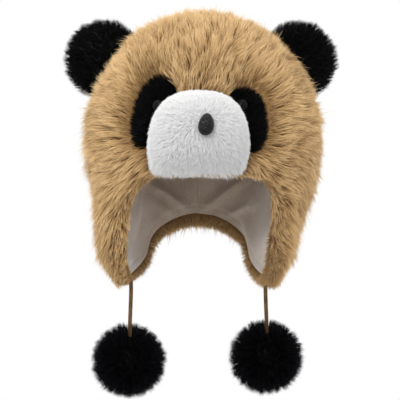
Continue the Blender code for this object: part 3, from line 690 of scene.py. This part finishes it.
def tan_nap(points, normals):
    """The way the long pile is combed, along the cloth."""
    heart = np.array((-0.006, -0.090, -0.112))
    away = points - heart
    front = ease(-points[:, 1], -0.04, 0.06)
    down = np.tile((0.0, 0.25, -1.0), (len(points), 1))
    low = ease(-points[:, 2], 0.11, 0.19)
    way = unit(away) * (0.25 + 0.95 * front)[:, None] + down * (
        1.05 - 0.95 * front * (1 - low * 0.65))[:, None]
    way -= normals * (way * normals).sum(1, keepdims=True)
    return unit(way)


def long_hairs(rng):
    """The long hairs of the coat, in soft tufts that lean with the nap."""
    spots = scatter(coat, TAN_HAIRS, rng, 1.0 - 0.4 * ease(coat[:-1, :, 1], 0.02, 0.06))
    roots = on_net(coat, *spots)
    stands = unit(on_net(coat_stand, *spots))
    turn, drop = on_net(coat_turn, *spots), on_net(coat_drop, *spots)
    wrapped = spots[1] == COAT_COLUMNS - 1
    turn[wrapped] = math.pi
    reach = np.minimum(patch_reach(turn, drop, "left"), patch_reach(turn, drop, "right"))
    keep = (reach > 1.0) & ~inside_muzzle(roots, -0.0060) & ~inside_ears(roots)
    roots, stands, reach, drop = roots[keep], stands[keep], reach[keep], drop[keep]
    count = len(roots)
    groups, leaders = tufts(roots, count // TAN_TUFT, rng)
    few = len(leaders)
    nap = tan_nap(roots[leaders], stands[leaders])
    swirl = (waves(roots[leaders], 0.060, 21) * 0.34 + waves(roots[leaders], 0.022, 24) * 0.16
             + rng.normal(0, 0.16, few))
    cross = np.cross(stands[leaders], nap)
    nap = nap * np.cos(swirl)[:, None] + cross * np.sin(swirl)[:, None]
    leans = nap[groups] + rng.normal(0, 0.15, (count, 3))
    leans = unit(leans - stands * (leans * stands).sum(1, keepdims=True))
    on_rim = spots[0][keep] >= COAT_ROWS
    lengths = TAN_LENGTH * rng.normal(1.0, 0.07, few)[groups] * rng.uniform(0.75, 1.12, count)
    lengths *= 1 + 0.08 * waves(roots, 0.07, 22)
    lengths = np.where(on_rim, lengths * 0.50, lengths)
    lengths *= 1 - 0.42 * ease(-roots[:, 2], 0.200, 0.236)
    near_ear = ease(np.abs(roots[:, 0]), 0.060, 0.075) * ease(roots[:, 2], -0.085, -0.060)
    lengths *= 1 - 0.18 * near_ear
    full_side = (ease(-roots[:, 0], 0.080, 0.100) * ease(-roots[:, 2], 0.035, 0.070)
                 * (1 - ease(-roots[:, 2], 0.110, 0.150)))
    lengths *= 1 + 0.35 * full_side
    lengths *= 0.62 + 0.38 * ease(reach, 1.0, 1.35)
    brow = ease(drop, 0.120, 0.136) * (roots[:, 1] < -0.05) * (np.abs(roots[:, 0]) < 0.06)
    lengths *= 1 - 0.55 * brow
    stray = rng.random(count) < 0.06
    lengths *= np.where(stray, 1.22, 1.0)
    angle_in = np.radians(rng.normal(28, 7, count))
    angle_out = np.radians(rng.normal(72, 6, few)[groups] + rng.normal(0, 7, count))
    lines = hair_lines(roots, stands, leans, lengths, angle_in, angle_out, 3)
    lines[:, 1:, 2] -= np.array([0.0002, 0.0006, 0.0012])
    lines = gather(lines, groups, leaders, np.where(stray, 0.0, rng.uniform(0.10, 0.55, count)))
    tints = (0.50 + 0.14 * waves(roots, 0.05, 23) + rng.normal(0, 0.06, few)[groups]
             + rng.normal(0, 0.12, count))
    # painted shade: the tan hairs darken towards the eye patches, where the pile dips down to
    # them
    tints -= 0.22 * (1 - ease(reach, 1.0, 1.30))
    return lines, roots, stands, rng.uniform(0.00044, 0.00080, count), tints


def hem_hairs(rng):
    """The short hairs that close the edge of the pile down to the lining."""
    out = form_normal(coat_turn[-1], place_at(coat_drop[-1]))
    feet = form_point(coat_turn[-1], place_at(coat_drop[-1])) + out * (LINING_OUT + 0.0006)
    rim = np.concatenate([coat[COAT_ROWS:], feet[None]])
    rim_stands = coat_stand[COAT_ROWS:]
    rim_stands = np.concatenate([rim_stands, unit(rim_stands[-1:] - out * 0.10)])
    spots = scatter(rim, HEM_HAIRS, rng, (np.abs(coat_turn[COAT_ROWS:]) > math.radians(36)) + 0.0)
    roots = on_net(rim, *spots)
    stands = unit(on_net(rim_stands, *spots))
    leans = unit(np.cross(stands, rng.normal(0, 1, (HEM_HAIRS, 3))))
    behind = ease(roots[:, 1], 0.02, 0.06)
    right_low = (roots[:, 0] > 0) * ease(-roots[:, 2], 0.185, 0.205) * (1 - behind)
    lengths = 0.0055 + 0.0030 * behind + 0.0045 * right_low
    lengths = lengths * rng.uniform(0.6, 1.15, HEM_HAIRS)
    lines = hair_lines(roots, stands, leans, lengths,
                       np.radians(rng.normal(8, 8, HEM_HAIRS)),
                       np.radians(rng.normal(22, 12, HEM_HAIRS)), 3)
    # painted shade: the hem hairs are tinted darker, as the shaded underside of the pile's edge
    tints = rng.normal(0.22, 0.10, HEM_HAIRS)
    return lines, roots, leans, rng.uniform(0.0004, 0.0007, HEM_HAIRS), tints


def make_tan_hairs():
    """All tan hairs, as one piece for each flap and two for the crown, before and behind."""
    rng = np.random.default_rng(3)
    both = zip(long_hairs(rng), hem_hairs(rng))
    lines, roots, stands, widths, tints = (np.concatenate(pair) for pair in both)
    node = piece_of(roots)
    back = roots[:, 1] > 0.0
    for name, chosen in (("crown_fur_front", (node == "crown_fur") & ~back),
                         ("crown_fur_back", (node == "crown_fur") & back),
                         ("flap_fur_left", node == "ear_flap_left"),
                         ("flap_fur_right", node == "ear_flap_right")):
        hairs = add_pile(name, lines[chosen], stands[chosen], widths[chosen], tints[chosen],
                         tan_fur, rng)
        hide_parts("crown_fur" if "crown" in name else name.replace("flap_fur",
                                                                            "ear_flap"))


EARS = {side: (np.array((sign * 0.0970, 0.0020, -0.0230)), sign * math.radians(8))
        for side, sign in SIDES.items()}
EAR_WIDTH = 0.080
EAR_THICKNESS = 0.030


def inside_ears(points):
    """Points that lie within an ear."""
    found = np.zeros(len(points), bool)
    for middle, swing in EARS.values():
        away = points - middle
        deep = -away[:, 0] * math.sin(swing) + away[:, 1] * math.cos(swing)
        wide = away[:, 0] * math.cos(swing) + away[:, 1] * math.sin(swing)
        found |= (np.hypot(wide, away[:, 2]) / (EAR_WIDTH / 2)) ** 2 + (
            deep / (EAR_THICKNESS / 2)) ** 2 < 0.80
    return found


MUZZLE_WIDTH = 0.098
MUZZLE_HEIGHT = 0.078
MUZZLE_TOP_DROP = 0.0625
MUZZLE_REACH = 0.066
MUZZLE_X = -0.0080
NOSE_X = -0.0032
NOSE_DROP = 0.0962
MUZZLE_OUTLINE = [
    # rise, half
    (0.985, -0.33), (1.00, 0.00), (0.985, 0.33), (0.93, 0.56), (0.84, 0.74), (0.70, 0.88),
    (0.50, 0.97), (0.30, 1.00), (0.13, 0.97), (0.03, 0.86), (0.00, 0.60), (0.00, 0.00),
]
MUZZLE_LOW = -MUZZLE_TOP_DROP - MUZZLE_HEIGHT
MUZZLE_HEART_Z = MUZZLE_LOW + MUZZLE_HEIGHT * 0.45
MUZZLE_BASE_Y = float((form_point(0.0, place_at(NOSE_DROP))
                       + form_normal(0.0, place_at(NOSE_DROP)) * PILE_ROOT)[1])


def muzzle_loop(count):
    """Spokes from the middle of the muzzle to its outline, clockwise from the top."""
    rise, half = np.moveaxis(read(MUZZLE_OUTLINE, np.linspace(1, len(MUZZLE_OUTLINE) - 1,
                                                              count // 2 + 1)), -1, 0)
    x = np.concatenate([half, -half[-2:0:-1]]) * MUZZLE_WIDTH / 2
    z = np.concatenate([rise, rise[-2:0:-1]]) * MUZZLE_HEIGHT
    return np.stack([x, np.zeros(count), MUZZLE_LOW + z - MUZZLE_HEART_Z], 1)


def muzzle_net(around, rings, grow):
    """The stuffed muzzle from inside the pile to its tip, as rings of points."""
    back = MUZZLE_BASE_Y + 0.006
    tip = MUZZLE_BASE_Y - MUZZLE_REACH - grow
    root = MUZZLE_BASE_Y + INNER_DEPTH * 0.22
    shoulder = MUZZLE_BASE_Y - MUZZLE_REACH * 0.12
    tip_x = (MUZZLE_X + NOSE_X) / 2
    bend = np.linspace(0, math.pi / 2, rings)[:-1]
    sizes = np.concatenate([np.ones(4), np.cos(bend) ** 0.85])
    ys = np.concatenate([np.linspace(back, shoulder, 5)[:-1],
                         shoulder + (tip - shoulder) * np.sin(bend)])
    spokes = muzzle_loop(around)
    oval = unit(spokes / (MUZZLE_WIDTH, 1.0, MUZZLE_HEIGHT))
    oval = oval * (MUZZLE_WIDTH / 2, 0.0, MUZZLE_HEIGHT / 2)
    lean = ((root - ys) / (root - tip))[:, None]
    middles = np.concatenate([MUZZLE_X + (tip_x - MUZZLE_X) * lean ** 2, ys[:, None],
                              MUZZLE_HEART_Z + (-NOSE_DROP - MUZZLE_HEART_Z) * lean ** 2], 1)
    drawn = spokes + (oval - spokes) * lean[:, :, None] ** 3
    drawn = drawn * sizes[:, None, None] + unit(drawn) * grow
    return middles[:, None] + drawn, np.array((tip_x, tip, -NOSE_DROP))


def inside_muzzle(points, margin=0.0005):
    """Points of the pile that the muzzle's outline covers."""
    loop = muzzle_loop(240)
    order = np.argsort(np.arctan2(loop[:, 0], loop[:, 2]))
    angles = np.arctan2(loop[:, 0], loop[:, 2])[order]
    reach = np.hypot(loop[:, 0], loop[:, 2])[order]
    x, z = points[:, 0] - MUZZLE_X, points[:, 2] - MUZZLE_HEART_Z
    edge = np.interp(np.arctan2(x, z), angles, reach, period=math.tau)
    return (np.hypot(x, z) < edge + margin) & (points[:, 1] < -0.03)


make_tan_hairs()


# Lining: pale brushed tricot, cut as two halves that meet in a seam down the back, with a piece
# for each flap. It is sewn to the backing along its edge only, so it hangs in soft folds.
LINING_SEAM_X = 0.0010
LINING_FOLDS = [
    # start x, z, end x, z, width, height
    (-0.0537, -0.1470, -0.0140, -0.1730, 0.0048, 0.0085),
    (-0.0430, -0.1662, -0.0290, -0.1815, 0.0035, 0.0050),
    (0.0520, -0.1430, 0.0101, -0.1730, 0.0045, 0.0085),
    (0.0569, -0.1704, 0.0270, -0.1822, 0.0040, 0.0045),
    (-0.0626, -0.1550, -0.0680, -0.2080, 0.0050, 0.0050),
    (0.0575, -0.1580, 0.0510, -0.1790, 0.0045, 0.0045),
    (0.0512, -0.1790, 0.0504, -0.2120, 0.0045, 0.0045),
    (-0.0060, -0.1300, -0.0050, -0.1700, 0.0050, 0.0030),
    (0.0150, -0.1280, 0.0200, -0.1620, 0.0070, 0.0025),
]


def fold_push(points):
    """How far the lining stands in from the backing in its folds."""
    push = 0.0012 * waves(points, 0.060, 31) + 0.0006 * waves(points, 0.024, 32)
    flat = points[..., [0, 2]]
    behind = ease(points[..., 1], -0.02, 0.01)
    for x0, z0, x1, z1, width, height in LINING_FOLDS:
        start, run = np.array((x0, z0)), np.array((x1 - x0, z1 - z0))
        share = np.clip(((flat - start) @ run) / (run @ run), 0, 1)
        nearest = start + share[..., None] * run
        gap = flat - nearest
        far = np.linalg.norm(gap, axis=-1)
        above = np.sign(gap @ np.array((-run[1], run[0])) * (1 if run[0] > 0 else -1))
        fade = np.sin(math.pi * (0.12 + 0.80 * share)) ** 0.7
        steep = np.where(above > 0, 1.6, 0.55)
        push = push + behind * fade * height * np.exp(-(far / (width * steep)) ** 2)
    seam = points[..., 0] - LINING_SEAM_X
    in_back = points[..., 1] > 0
    push -= np.where(in_back, 0.0010 * np.exp(-(seam / 0.0011) ** 2), 0.0)
    push += np.where(in_back, 0.0010 * np.exp(-(seam / 0.0060) ** 2), 0.0)
    return push


def lining_finish():
    """Brushed tricot: fine ribs under a short nap, and painted shade, darker and warmer, deep in
    the crown.
    """
    finish, tree, shader = new_finish("pale_tricot", 0.85, 0.2, 0.35)
    place = add_node(tree, "ShaderNodeTexCoord").outputs["Object"]
    ribs = add_node(tree, "ShaderNodeTexWave", {"Vector": place, "Scale": 210.0,
                                                "Distortion": 1.5, "Detail": 2.0,
                                                "Detail Scale": 3.0}, bands_direction="X")
    nap = add_node(tree, "ShaderNodeTexNoise", {"Vector": place, "Scale": 700.0, "Detail": 4.0})
    cloud = add_node(tree, "ShaderNodeTexNoise", {"Vector": place, "Scale": 28.0, "Detail": 3.0})
    color = add_ramp(tree, cloud.outputs["Fac"], [(0.35, (0.660, 0.605, 0.560)),
                                                  (0.65, (0.780, 0.735, 0.700))])
    grain = add_ramp(tree, nap.outputs["Fac"], [(0.30, (0.86, 0.86, 0.86)),
                                                (0.70, (1.06, 1.06, 1.06))])
    # painted shade: the cloth darkens and warms with depth into the crown, where less light
    # reaches
    apart = add_node(tree, "ShaderNodeSeparateXYZ", {"Vector": place})
    depth = add_node(tree, "ShaderNodeMapRange", {"Value": apart.outputs["Y"], "From Min": -0.005,
                                                  "From Max": 0.075})
    deep = add_ramp(tree, depth.outputs["Result"], [(0.0, (1.0, 1.0, 1.0)),
                                                    (1.0, (0.62, 0.54, 0.46))])
    tree.links.new(add_product(tree, add_product(tree, color, grain), deep),
                   shader.inputs["Base Color"])
    height = add_node(tree, "ShaderNodeMath", {0: ribs.outputs["Fac"], 1: nap.outputs["Fac"]},
                      operation="ADD")
    bump = add_node(tree, "ShaderNodeBump", {"Height": height.outputs["Value"],
                                             "Strength": 0.35, "Distance": 0.0004})
    tree.links.new(bump.outputs["Normal"], shader.inputs["Normal"])
    return finish


def make_lining():
    """One thin closed cloth over the head form, parted at the back seam and the flap seam."""
    columns, rows = 220, 100
    turn, place = wall_grid(columns, rows, 1.45)
    normal = form_normal(turn, place)
    flat = form_point(turn, place)
    rim = (place - 1.0) / (place[-1] - 1.0)
    hold = 1 - ease(rim, 0.955, 1.0) * 0.75
    stitch = 0.0006 * np.exp(-((rim - 0.970) / 0.006) ** 2)
    push = fold_push(flat.reshape(-1, 3)).reshape(flat.shape[:2]) * hold
    push = push * ease(rim, 0.10, 0.35) - stitch
    inner = flat - normal * np.clip(push - 0.0004, -0.0014, 0.0100)[..., None]
    outer = flat + normal * (LINING_OUT - 0.0001)
    edge = (inner[-1] + outer[-1]) / 2
    edge[:, 2] -= 0.0006
    poles = [form_point(0.0, 1.0) + (0, 0, LINING_OUT - 0.0001), form_point(0.0, 1.0)]
    verts = np.concatenate([outer.reshape(-1, 3), inner.reshape(-1, 3), edge, poles])

    size = rows * columns
    r, c = np.meshgrid(np.arange(rows), np.arange(columns), indexing="ij")
    out, into = r * columns + c, size + r * columns + c
    rim_row, top_out, top_in = 2 * size + c[0], len(verts) - 2, len(verts) - 1
    middle = (flat[:-1] + flat[1:] + np.roll(flat, -1, 1)[:-1] + np.roll(flat, -1, 1)[1:]) / 4
    on_flap = (middle[..., 2] < -SEAM_DROP) & (np.abs(middle[..., 0]) > FLAP_START)
    seam = int(np.argmin(np.where(flat[-1, :, 1] > 0, np.abs(flat[-1, :, 0] - LINING_SEAM_X), 1)))
    from_seam = np.arange(columns)[None] - (seam - columns if seam > columns / 2 else seam)
    right = np.where(on_flap, middle[..., 0] > 0, from_seam % columns >= columns // 2)
    part = on_flap * 2 + right

    def nxt(index):
        return np.roll(index, -1, -1)

    def quads(a, b, c, d, parts):
        return np.stack([a, b, c, d], -1).reshape(-1, 4), parts.ravel()

    nets = [quads(out[:-1], out[1:], nxt(out)[1:], nxt(out)[:-1], part),
            quads(into[:-1], nxt(into)[:-1], nxt(into)[1:], into[1:], part),
            quads(out[-1], rim_row, nxt(rim_row), nxt(out[-1]), part[-1]),
            quads(into[-1], nxt(into[-1]), nxt(rim_row), rim_row, part[-1])]
    for shift, axis in ((1, 1), (1, 0)):
        before = np.roll(part, shift, axis)
        cut = part != before
        if axis == 0:
            cut[0] = False
            ends = (out[:-1], nxt(out)[:-1], nxt(into)[:-1], into[:-1])
        else:
            ends = (out[1:], out[:-1], into[:-1], into[1:])
        ends = [e[cut] for e in ends]
        nets.append(quads(*ends, part[cut]))
        nets.append(quads(*ends[::-1], before[cut]))
    before = np.roll(part[0], 1)
    cut = part[0] != before
    ends = (out[0][cut], np.full(cut.sum(), top_out), np.full(cut.sum(), top_in), into[0][cut])
    nets += [quads(*ends, part[0][cut]), quads(*ends[::-1], before[cut])]
    full = np.full(columns, top_out)
    fans = [(np.stack([full, out[0], nxt(out[0])], 1), part[0]),
            (np.stack([full + 1, nxt(into[0]), into[0]], 1), part[0])]
    before = np.roll(part[-1], 1)
    cut = part[-1] != before
    foot = np.stack([out[-1][cut], into[-1][cut], rim_row[cut]], 1)
    fans += [(foot, part[-1][cut]), (foot[:, ::-1], before[cut])]

    finish = lining_finish()
    for number, node in enumerate(("crown_lining_left", "crown_lining_right",
                                   "flap_lining_left", "flap_lining_right")):
        fours = np.concatenate([f[p == number] for f, p in nets])
        threes = np.concatenate([f[p == number] for f, p in fans])
        used, fresh = np.unique(np.concatenate([fours.ravel(), threes.ravel()]),
                                return_inverse=True)
        parts = [fresh[:fours.size].reshape(-1, 4), fresh[fours.size:].reshape(-1, 3)]
        cloth = add_mesh(node.replace("lining", "tricot"), verts[used],
                         [f for f in parts if len(f)], finish, sharp=50)
        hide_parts(node)


make_lining()


# Ears: two round padded discs in short black pile, sewn upright to the backing, so that the
# tan hairs stand round their feet.
EAR_HAIRS = 9000
EAR_TUFTS = 420
EAR_HOLLOW = 0.005
EAR_SIDES, EAR_RINGS = 72, 48


def net_normals(net, middle):
    """The ways out of a net of closed rings."""
    around = np.roll(net, -1, 1) - np.roll(net, 1, 1)
    down = np.gradient(net, axis=0)
    out = unit(np.cross(down, around))
    outward = ((net - middle) * out).sum(-1).mean() > 0
    return out if outward else -out


def ear_shape(ways, radius, depth, middle, swing):
    """A ball flattened to a disc with a shallow hollow in its front."""
    x, y, z = np.moveaxis(ways, -1, 0)
    hollow = (EAR_HOLLOW / (EAR_THICKNESS / 2)) * np.maximum(0, 1 - np.hypot(x, z) ** 2)
    full = np.sign(y) * np.abs(y) ** 0.75 + np.where(y < 0, hollow, 0)
    local = np.stack([x * radius, full * depth, z * radius], -1)
    c, s = math.cos(swing), math.sin(swing)
    return middle + np.stack([local[..., 0] * c - local[..., 1] * s,
                              local[..., 0] * s + local[..., 1] * c, local[..., 2]], -1)


black_pile = pile_finish("black_plush",
                         [(0.0, (0.0008, 0.0008, 0.0008)), (0.6, (0.0018, 0.0018, 0.0020)),
                          (1.0, (0.0042, 0.0045, 0.0048))],
                         [(0.0, (0.5, 0.5, 0.5)), (1.0, (1.4, 1.5, 1.55))], 0.55, 0.10, 0.010)


def make_ear(side):
    """The padded disc, and its pile brushed outwards from the foot."""
    rng = np.random.default_rng(41 if side == "left" else 42)
    middle, swing = EARS[side]
    ways, faces = ball_grid(EAR_SIDES, EAR_RINGS)
    pad = add_mesh(f"ear_pad_{side}", ear_shape(ways, EAR_WIDTH / 2 - 0.0045,
                                                EAR_THICKNESS / 2 - 0.0035, middle, swing),
                   faces, black_pile, plain_palette(len(ways), 0.4, 0.35))
    net = ear_shape(ways[1:-1].reshape(EAR_RINGS - 1, EAR_SIDES, 3), EAR_WIDTH / 2 - 0.0050,
                    EAR_THICKNESS / 2 - 0.0040, middle, swing)
    normals = net_normals(net, middle)
    spots = scatter(net, EAR_HAIRS, rng)
    roots, stands = on_net(net, *spots), unit(on_net(normals, *spots))
    away = roots - (middle + np.array((-SIDES[side] * 0.018, 0.0, -0.018)))
    lean = away + rng.normal(0, 0.008, roots.shape)
    lean = unit(lean - stands * (lean * stands).sum(1, keepdims=True))
    groups, leaders = tufts(roots, EAR_TUFTS, rng)
    count = len(roots)
    lengths = 0.0085 * rng.uniform(0.7, 1.15, count) * rng.normal(1, 0.1, EAR_TUFTS)[groups]
    lines = hair_lines(roots, stands, lean, lengths, np.radians(rng.normal(20, 8, count)),
                       np.radians(rng.normal(62, 12, count)), 2)
    lines = gather(lines, groups, leaders, rng.uniform(0.1, 0.5, count))
    hairs = add_pile(f"ear_pile_{side}", lines, stands, rng.uniform(0.0004, 0.0007, count),
                     rng.uniform(0.2, 0.8, count), black_pile, rng)
    for piece in (pad, hairs):
        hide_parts(f"ear_{side}")


for side in SIDES:
    make_ear(side)


# Eye patches: leaning ovals of the same short black pile, let into the tan pile on the backing
# and partly covered by the muzzle.
PATCH_HAIRS = 5600
PATCH_TUFTS = 180
PATCH_SIDES, PATCH_RINGS = 64, 18


def patch_point(side, reach, turn, out):
    """A point of a patch by how far out from its middle, its turn about it, and its height."""
    middle_turn, middle_drop, width, height, lean = PATCHES[side]
    full = reach / (np.abs(np.cos(turn)) ** PATCH_POWER
                    + np.abs(np.sin(turn)) ** PATCH_POWER) ** (1 / PATCH_POWER)
    wide = width / 2 * full * np.cos(turn)
    tall = height / 2 * full * np.sin(turn)
    across = wide * math.cos(lean) + tall * math.sin(lean)
    up = tall * math.cos(lean) - wide * math.sin(lean)
    about = middle_turn + across / (INNER_WIDTH / 2 + PILE_ROOT)
    place = place_at(middle_drop - up)
    return form_point(about, place) + form_normal(about, place) * (
        PILE_ROOT + out)[..., None], form_normal(about, place)


def make_patch(side):
    """A thin pad with a rounded edge, and the pile on it down to the muzzle."""
    rng = np.random.default_rng(51 if side == "left" else 52)
    turns = np.linspace(0, math.tau, PATCH_SIDES, endpoint=False)
    reach, turn = np.meshgrid(np.linspace(0.02, 1.06, PATCH_RINGS), turns, indexing="ij")
    out = 0.0048 * (1 - ease(reach, 0.75, 1.06) * 0.75)
    net, stands = patch_point(side, reach, turn, out)
    low, _ = patch_point(side, reach[::-1], turn, np.full(reach.shape, 0.0006))
    verts = np.concatenate([net.reshape(-1, 3), low.reshape(-1, 3)])
    rings = 2 * PATCH_RINGS
    quads = ring_faces(0, rings, PATCH_SIDES)[:, ::-1]
    ring = np.arange(PATCH_SIDES)
    discs = [ring[None], ((rings - 1) * PATCH_SIDES + ring[::-1])[None]]
    pad = add_mesh(f"eye_patch_ground_{side}", verts, [quads] + discs, black_pile,
                   plain_palette(len(verts), 0.4, 0.3))
    spots = scatter(net, PATCH_HAIRS, rng)
    roots, stand = on_net(net, *spots), unit(on_net(stands, *spots))
    keep = ~inside_muzzle(roots, -0.002)
    roots, stand = roots[keep], stand[keep]
    count = len(roots)
    lean = tan_nap(roots, stand) + rng.normal(0, 0.30, roots.shape)
    lean = unit(lean - stand * (lean * stand).sum(1, keepdims=True))
    groups, leaders = tufts(roots, PATCH_TUFTS, rng)
    lengths = 0.0085 * rng.uniform(0.7, 1.15, count)
    lines = hair_lines(roots, stand, lean, lengths, np.radians(rng.normal(15, 8, count)),
                       np.radians(rng.normal(55, 12, count)), 2)
    lines = gather(lines, groups, leaders, rng.uniform(0.1, 0.5, count))
    hairs = add_pile(f"eye_patch_pile_{side}", lines, stand,
                     rng.uniform(0.0004, 0.0007, count), rng.uniform(0.2, 0.8, count),
                     black_pile, rng)
    for piece in (pad, hairs):
        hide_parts(f"eye_patch_{side}")


for side in SIDES:
    make_patch(side)


# Muzzle: a stuffed dome of short white pile sewn over the lower middle of the face. Its pile is
# combed back from the nose and hangs in a short fringe along the lower edge.
MUZZLE_HAIRS = 30000
MUZZLE_TUFTS = 2000

white_pile = pile_finish("white_plush",
                         [(0.0, (0.62, 0.62, 0.62)), (0.5, (0.74, 0.74, 0.74)),
                          (1.0, (0.82, 0.82, 0.815))],
                         [(0.0, (0.92, 0.92, 0.92)), (1.0, (1.03, 1.03, 1.03))], 0.7, 0.15, 0.15)


def make_muzzle():
    """The stuffed dome, closed at its tip and at the back, and its pile."""
    rng = np.random.default_rng(61)
    around = 96
    net, tip = muzzle_net(around, 40, -0.0050)
    verts = np.concatenate([net.reshape(-1, 3), [tip, net[0].mean(0)]])
    quads = ring_faces(0, len(net), around)
    k = np.arange(around)
    last = (len(net) - 1) * around
    caps = np.concatenate([
        np.stack([np.full(around, len(verts) - 2), last + (k + 1) % around, last + k], 1),
        np.stack([np.full(around, len(verts) - 1), k, (k + 1) % around], 1)])
    stuffed = add_mesh("muzzle_pad", verts, [quads[:, ::-1], caps[:, ::-1]], white_pile,
                       plain_palette(len(verts), 0.5, 0.45))
    normals = net_normals(net, net.mean((0, 1)))
    spots = scatter(net, MUZZLE_HAIRS, rng)
    roots, stands = on_net(net, *spots), unit(on_net(normals, *spots))
    back = np.array((MUZZLE_X, MUZZLE_BASE_Y - MUZZLE_REACH * 1.4, -NOSE_DROP + 0.004))
    lean = unit(roots - back) + (0, 0, -0.25) + rng.normal(0, 0.22, roots.shape)
    lean = unit(lean - stands * (lean * stands).sum(1, keepdims=True))
    count = len(roots)
    groups, leaders = tufts(roots, MUZZLE_TUFTS, rng)
    lengths = 0.0054 * rng.uniform(0.7, 1.2, count) * rng.normal(1, 0.08, MUZZLE_TUFTS)[groups]
    low = ease(-roots[:, 2], 0.122, 0.134) * ease(roots[:, 1], -0.145, -0.115)
    lengths *= 1 + 0.9 * low * rng.uniform(0.2, 1.2, count)
    lines = hair_lines(roots, stands, lean, lengths, np.radians(rng.normal(30, 8, count)),
                       np.radians(rng.normal(74, 8, count)), 2)
    lines[:, 1:, 2] -= np.array((0.0004, 0.0016)) * low[:, None]
    lines = gather(lines, groups, leaders, rng.uniform(0.0, 0.4, count))
    hairs = add_pile("muzzle_pile", lines, stands, rng.uniform(0.0004, 0.0007, count),
                     rng.uniform(0.2, 0.8, count), white_pile, rng, twist=0.3)
    for piece in (stuffed, hairs):
        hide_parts("muzzle")


make_muzzle()


# Nose and eyes: moulded glossy black pieces with a shank through the cloth. The nose is an egg
# with a lightly pebbled face, the eyes are small plain domes.
def gloss_finish(name, scale, strength, specular):
    """Polished black plastic, with a pebbled face if strength is above 0."""
    finish, tree, shader = new_finish(name, 0.12, specular)
    place = add_node(tree, "ShaderNodeTexCoord").outputs["Object"]
    cells = add_node(tree, "ShaderNodeTexVoronoi", {"Vector": place, "Scale": scale})
    dust = add_node(tree, "ShaderNodeTexNoise", {"Vector": place, "Scale": 400.0, "Detail": 3.0})
    tree.links.new(add_ramp(tree, dust.outputs["Fac"], [(0.4, (0.003, 0.003, 0.003)),
                                                        (0.8, (0.012, 0.012, 0.012))]),
                   shader.inputs["Base Color"])
    bump = add_node(tree, "ShaderNodeBump", {"Height": cells.outputs["Distance"],
                                             "Strength": strength, "Distance": 0.0006})
    tree.links.new(bump.outputs["Normal"], shader.inputs["Normal"])
    return finish


def make_nose():
    """An egg, wider below, that leans a little to the right at its top."""
    ways, faces = ball_grid(64, 44)
    low, high = (np.array(corner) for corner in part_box("nose"))
    x, y, z = np.moveaxis(ways, -1, 0)
    widen = 1.0 - 0.16 * z
    shape = np.stack([x * widen + 0.10 * z, y, z], 1) * (high - low) / 2 * (0.97, 1.0, 1.0)
    nose = add_mesh("nose_button", (low + high) / 2 + shape, faces,
                    gloss_finish("pebbled_black", 900, 0.8, 0.20))
    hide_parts("nose")


make_nose()


def make_eye(side):
    """A plain dome, of which the muzzle leaves half in sight."""
    ways, faces = ball_grid(40, 28)
    low, high = (np.array(c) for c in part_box(f"eye_{side}"))
    eye = add_mesh(f"eye_dome_{side}", (low + high) / 2 + ways * 0.0060, faces, eye_finish)
    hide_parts(f"eye_{side}")


eye_finish = gloss_finish("polished_black", 300, 0.05, 0.06)
for side in SIDES:
    make_eye(side)
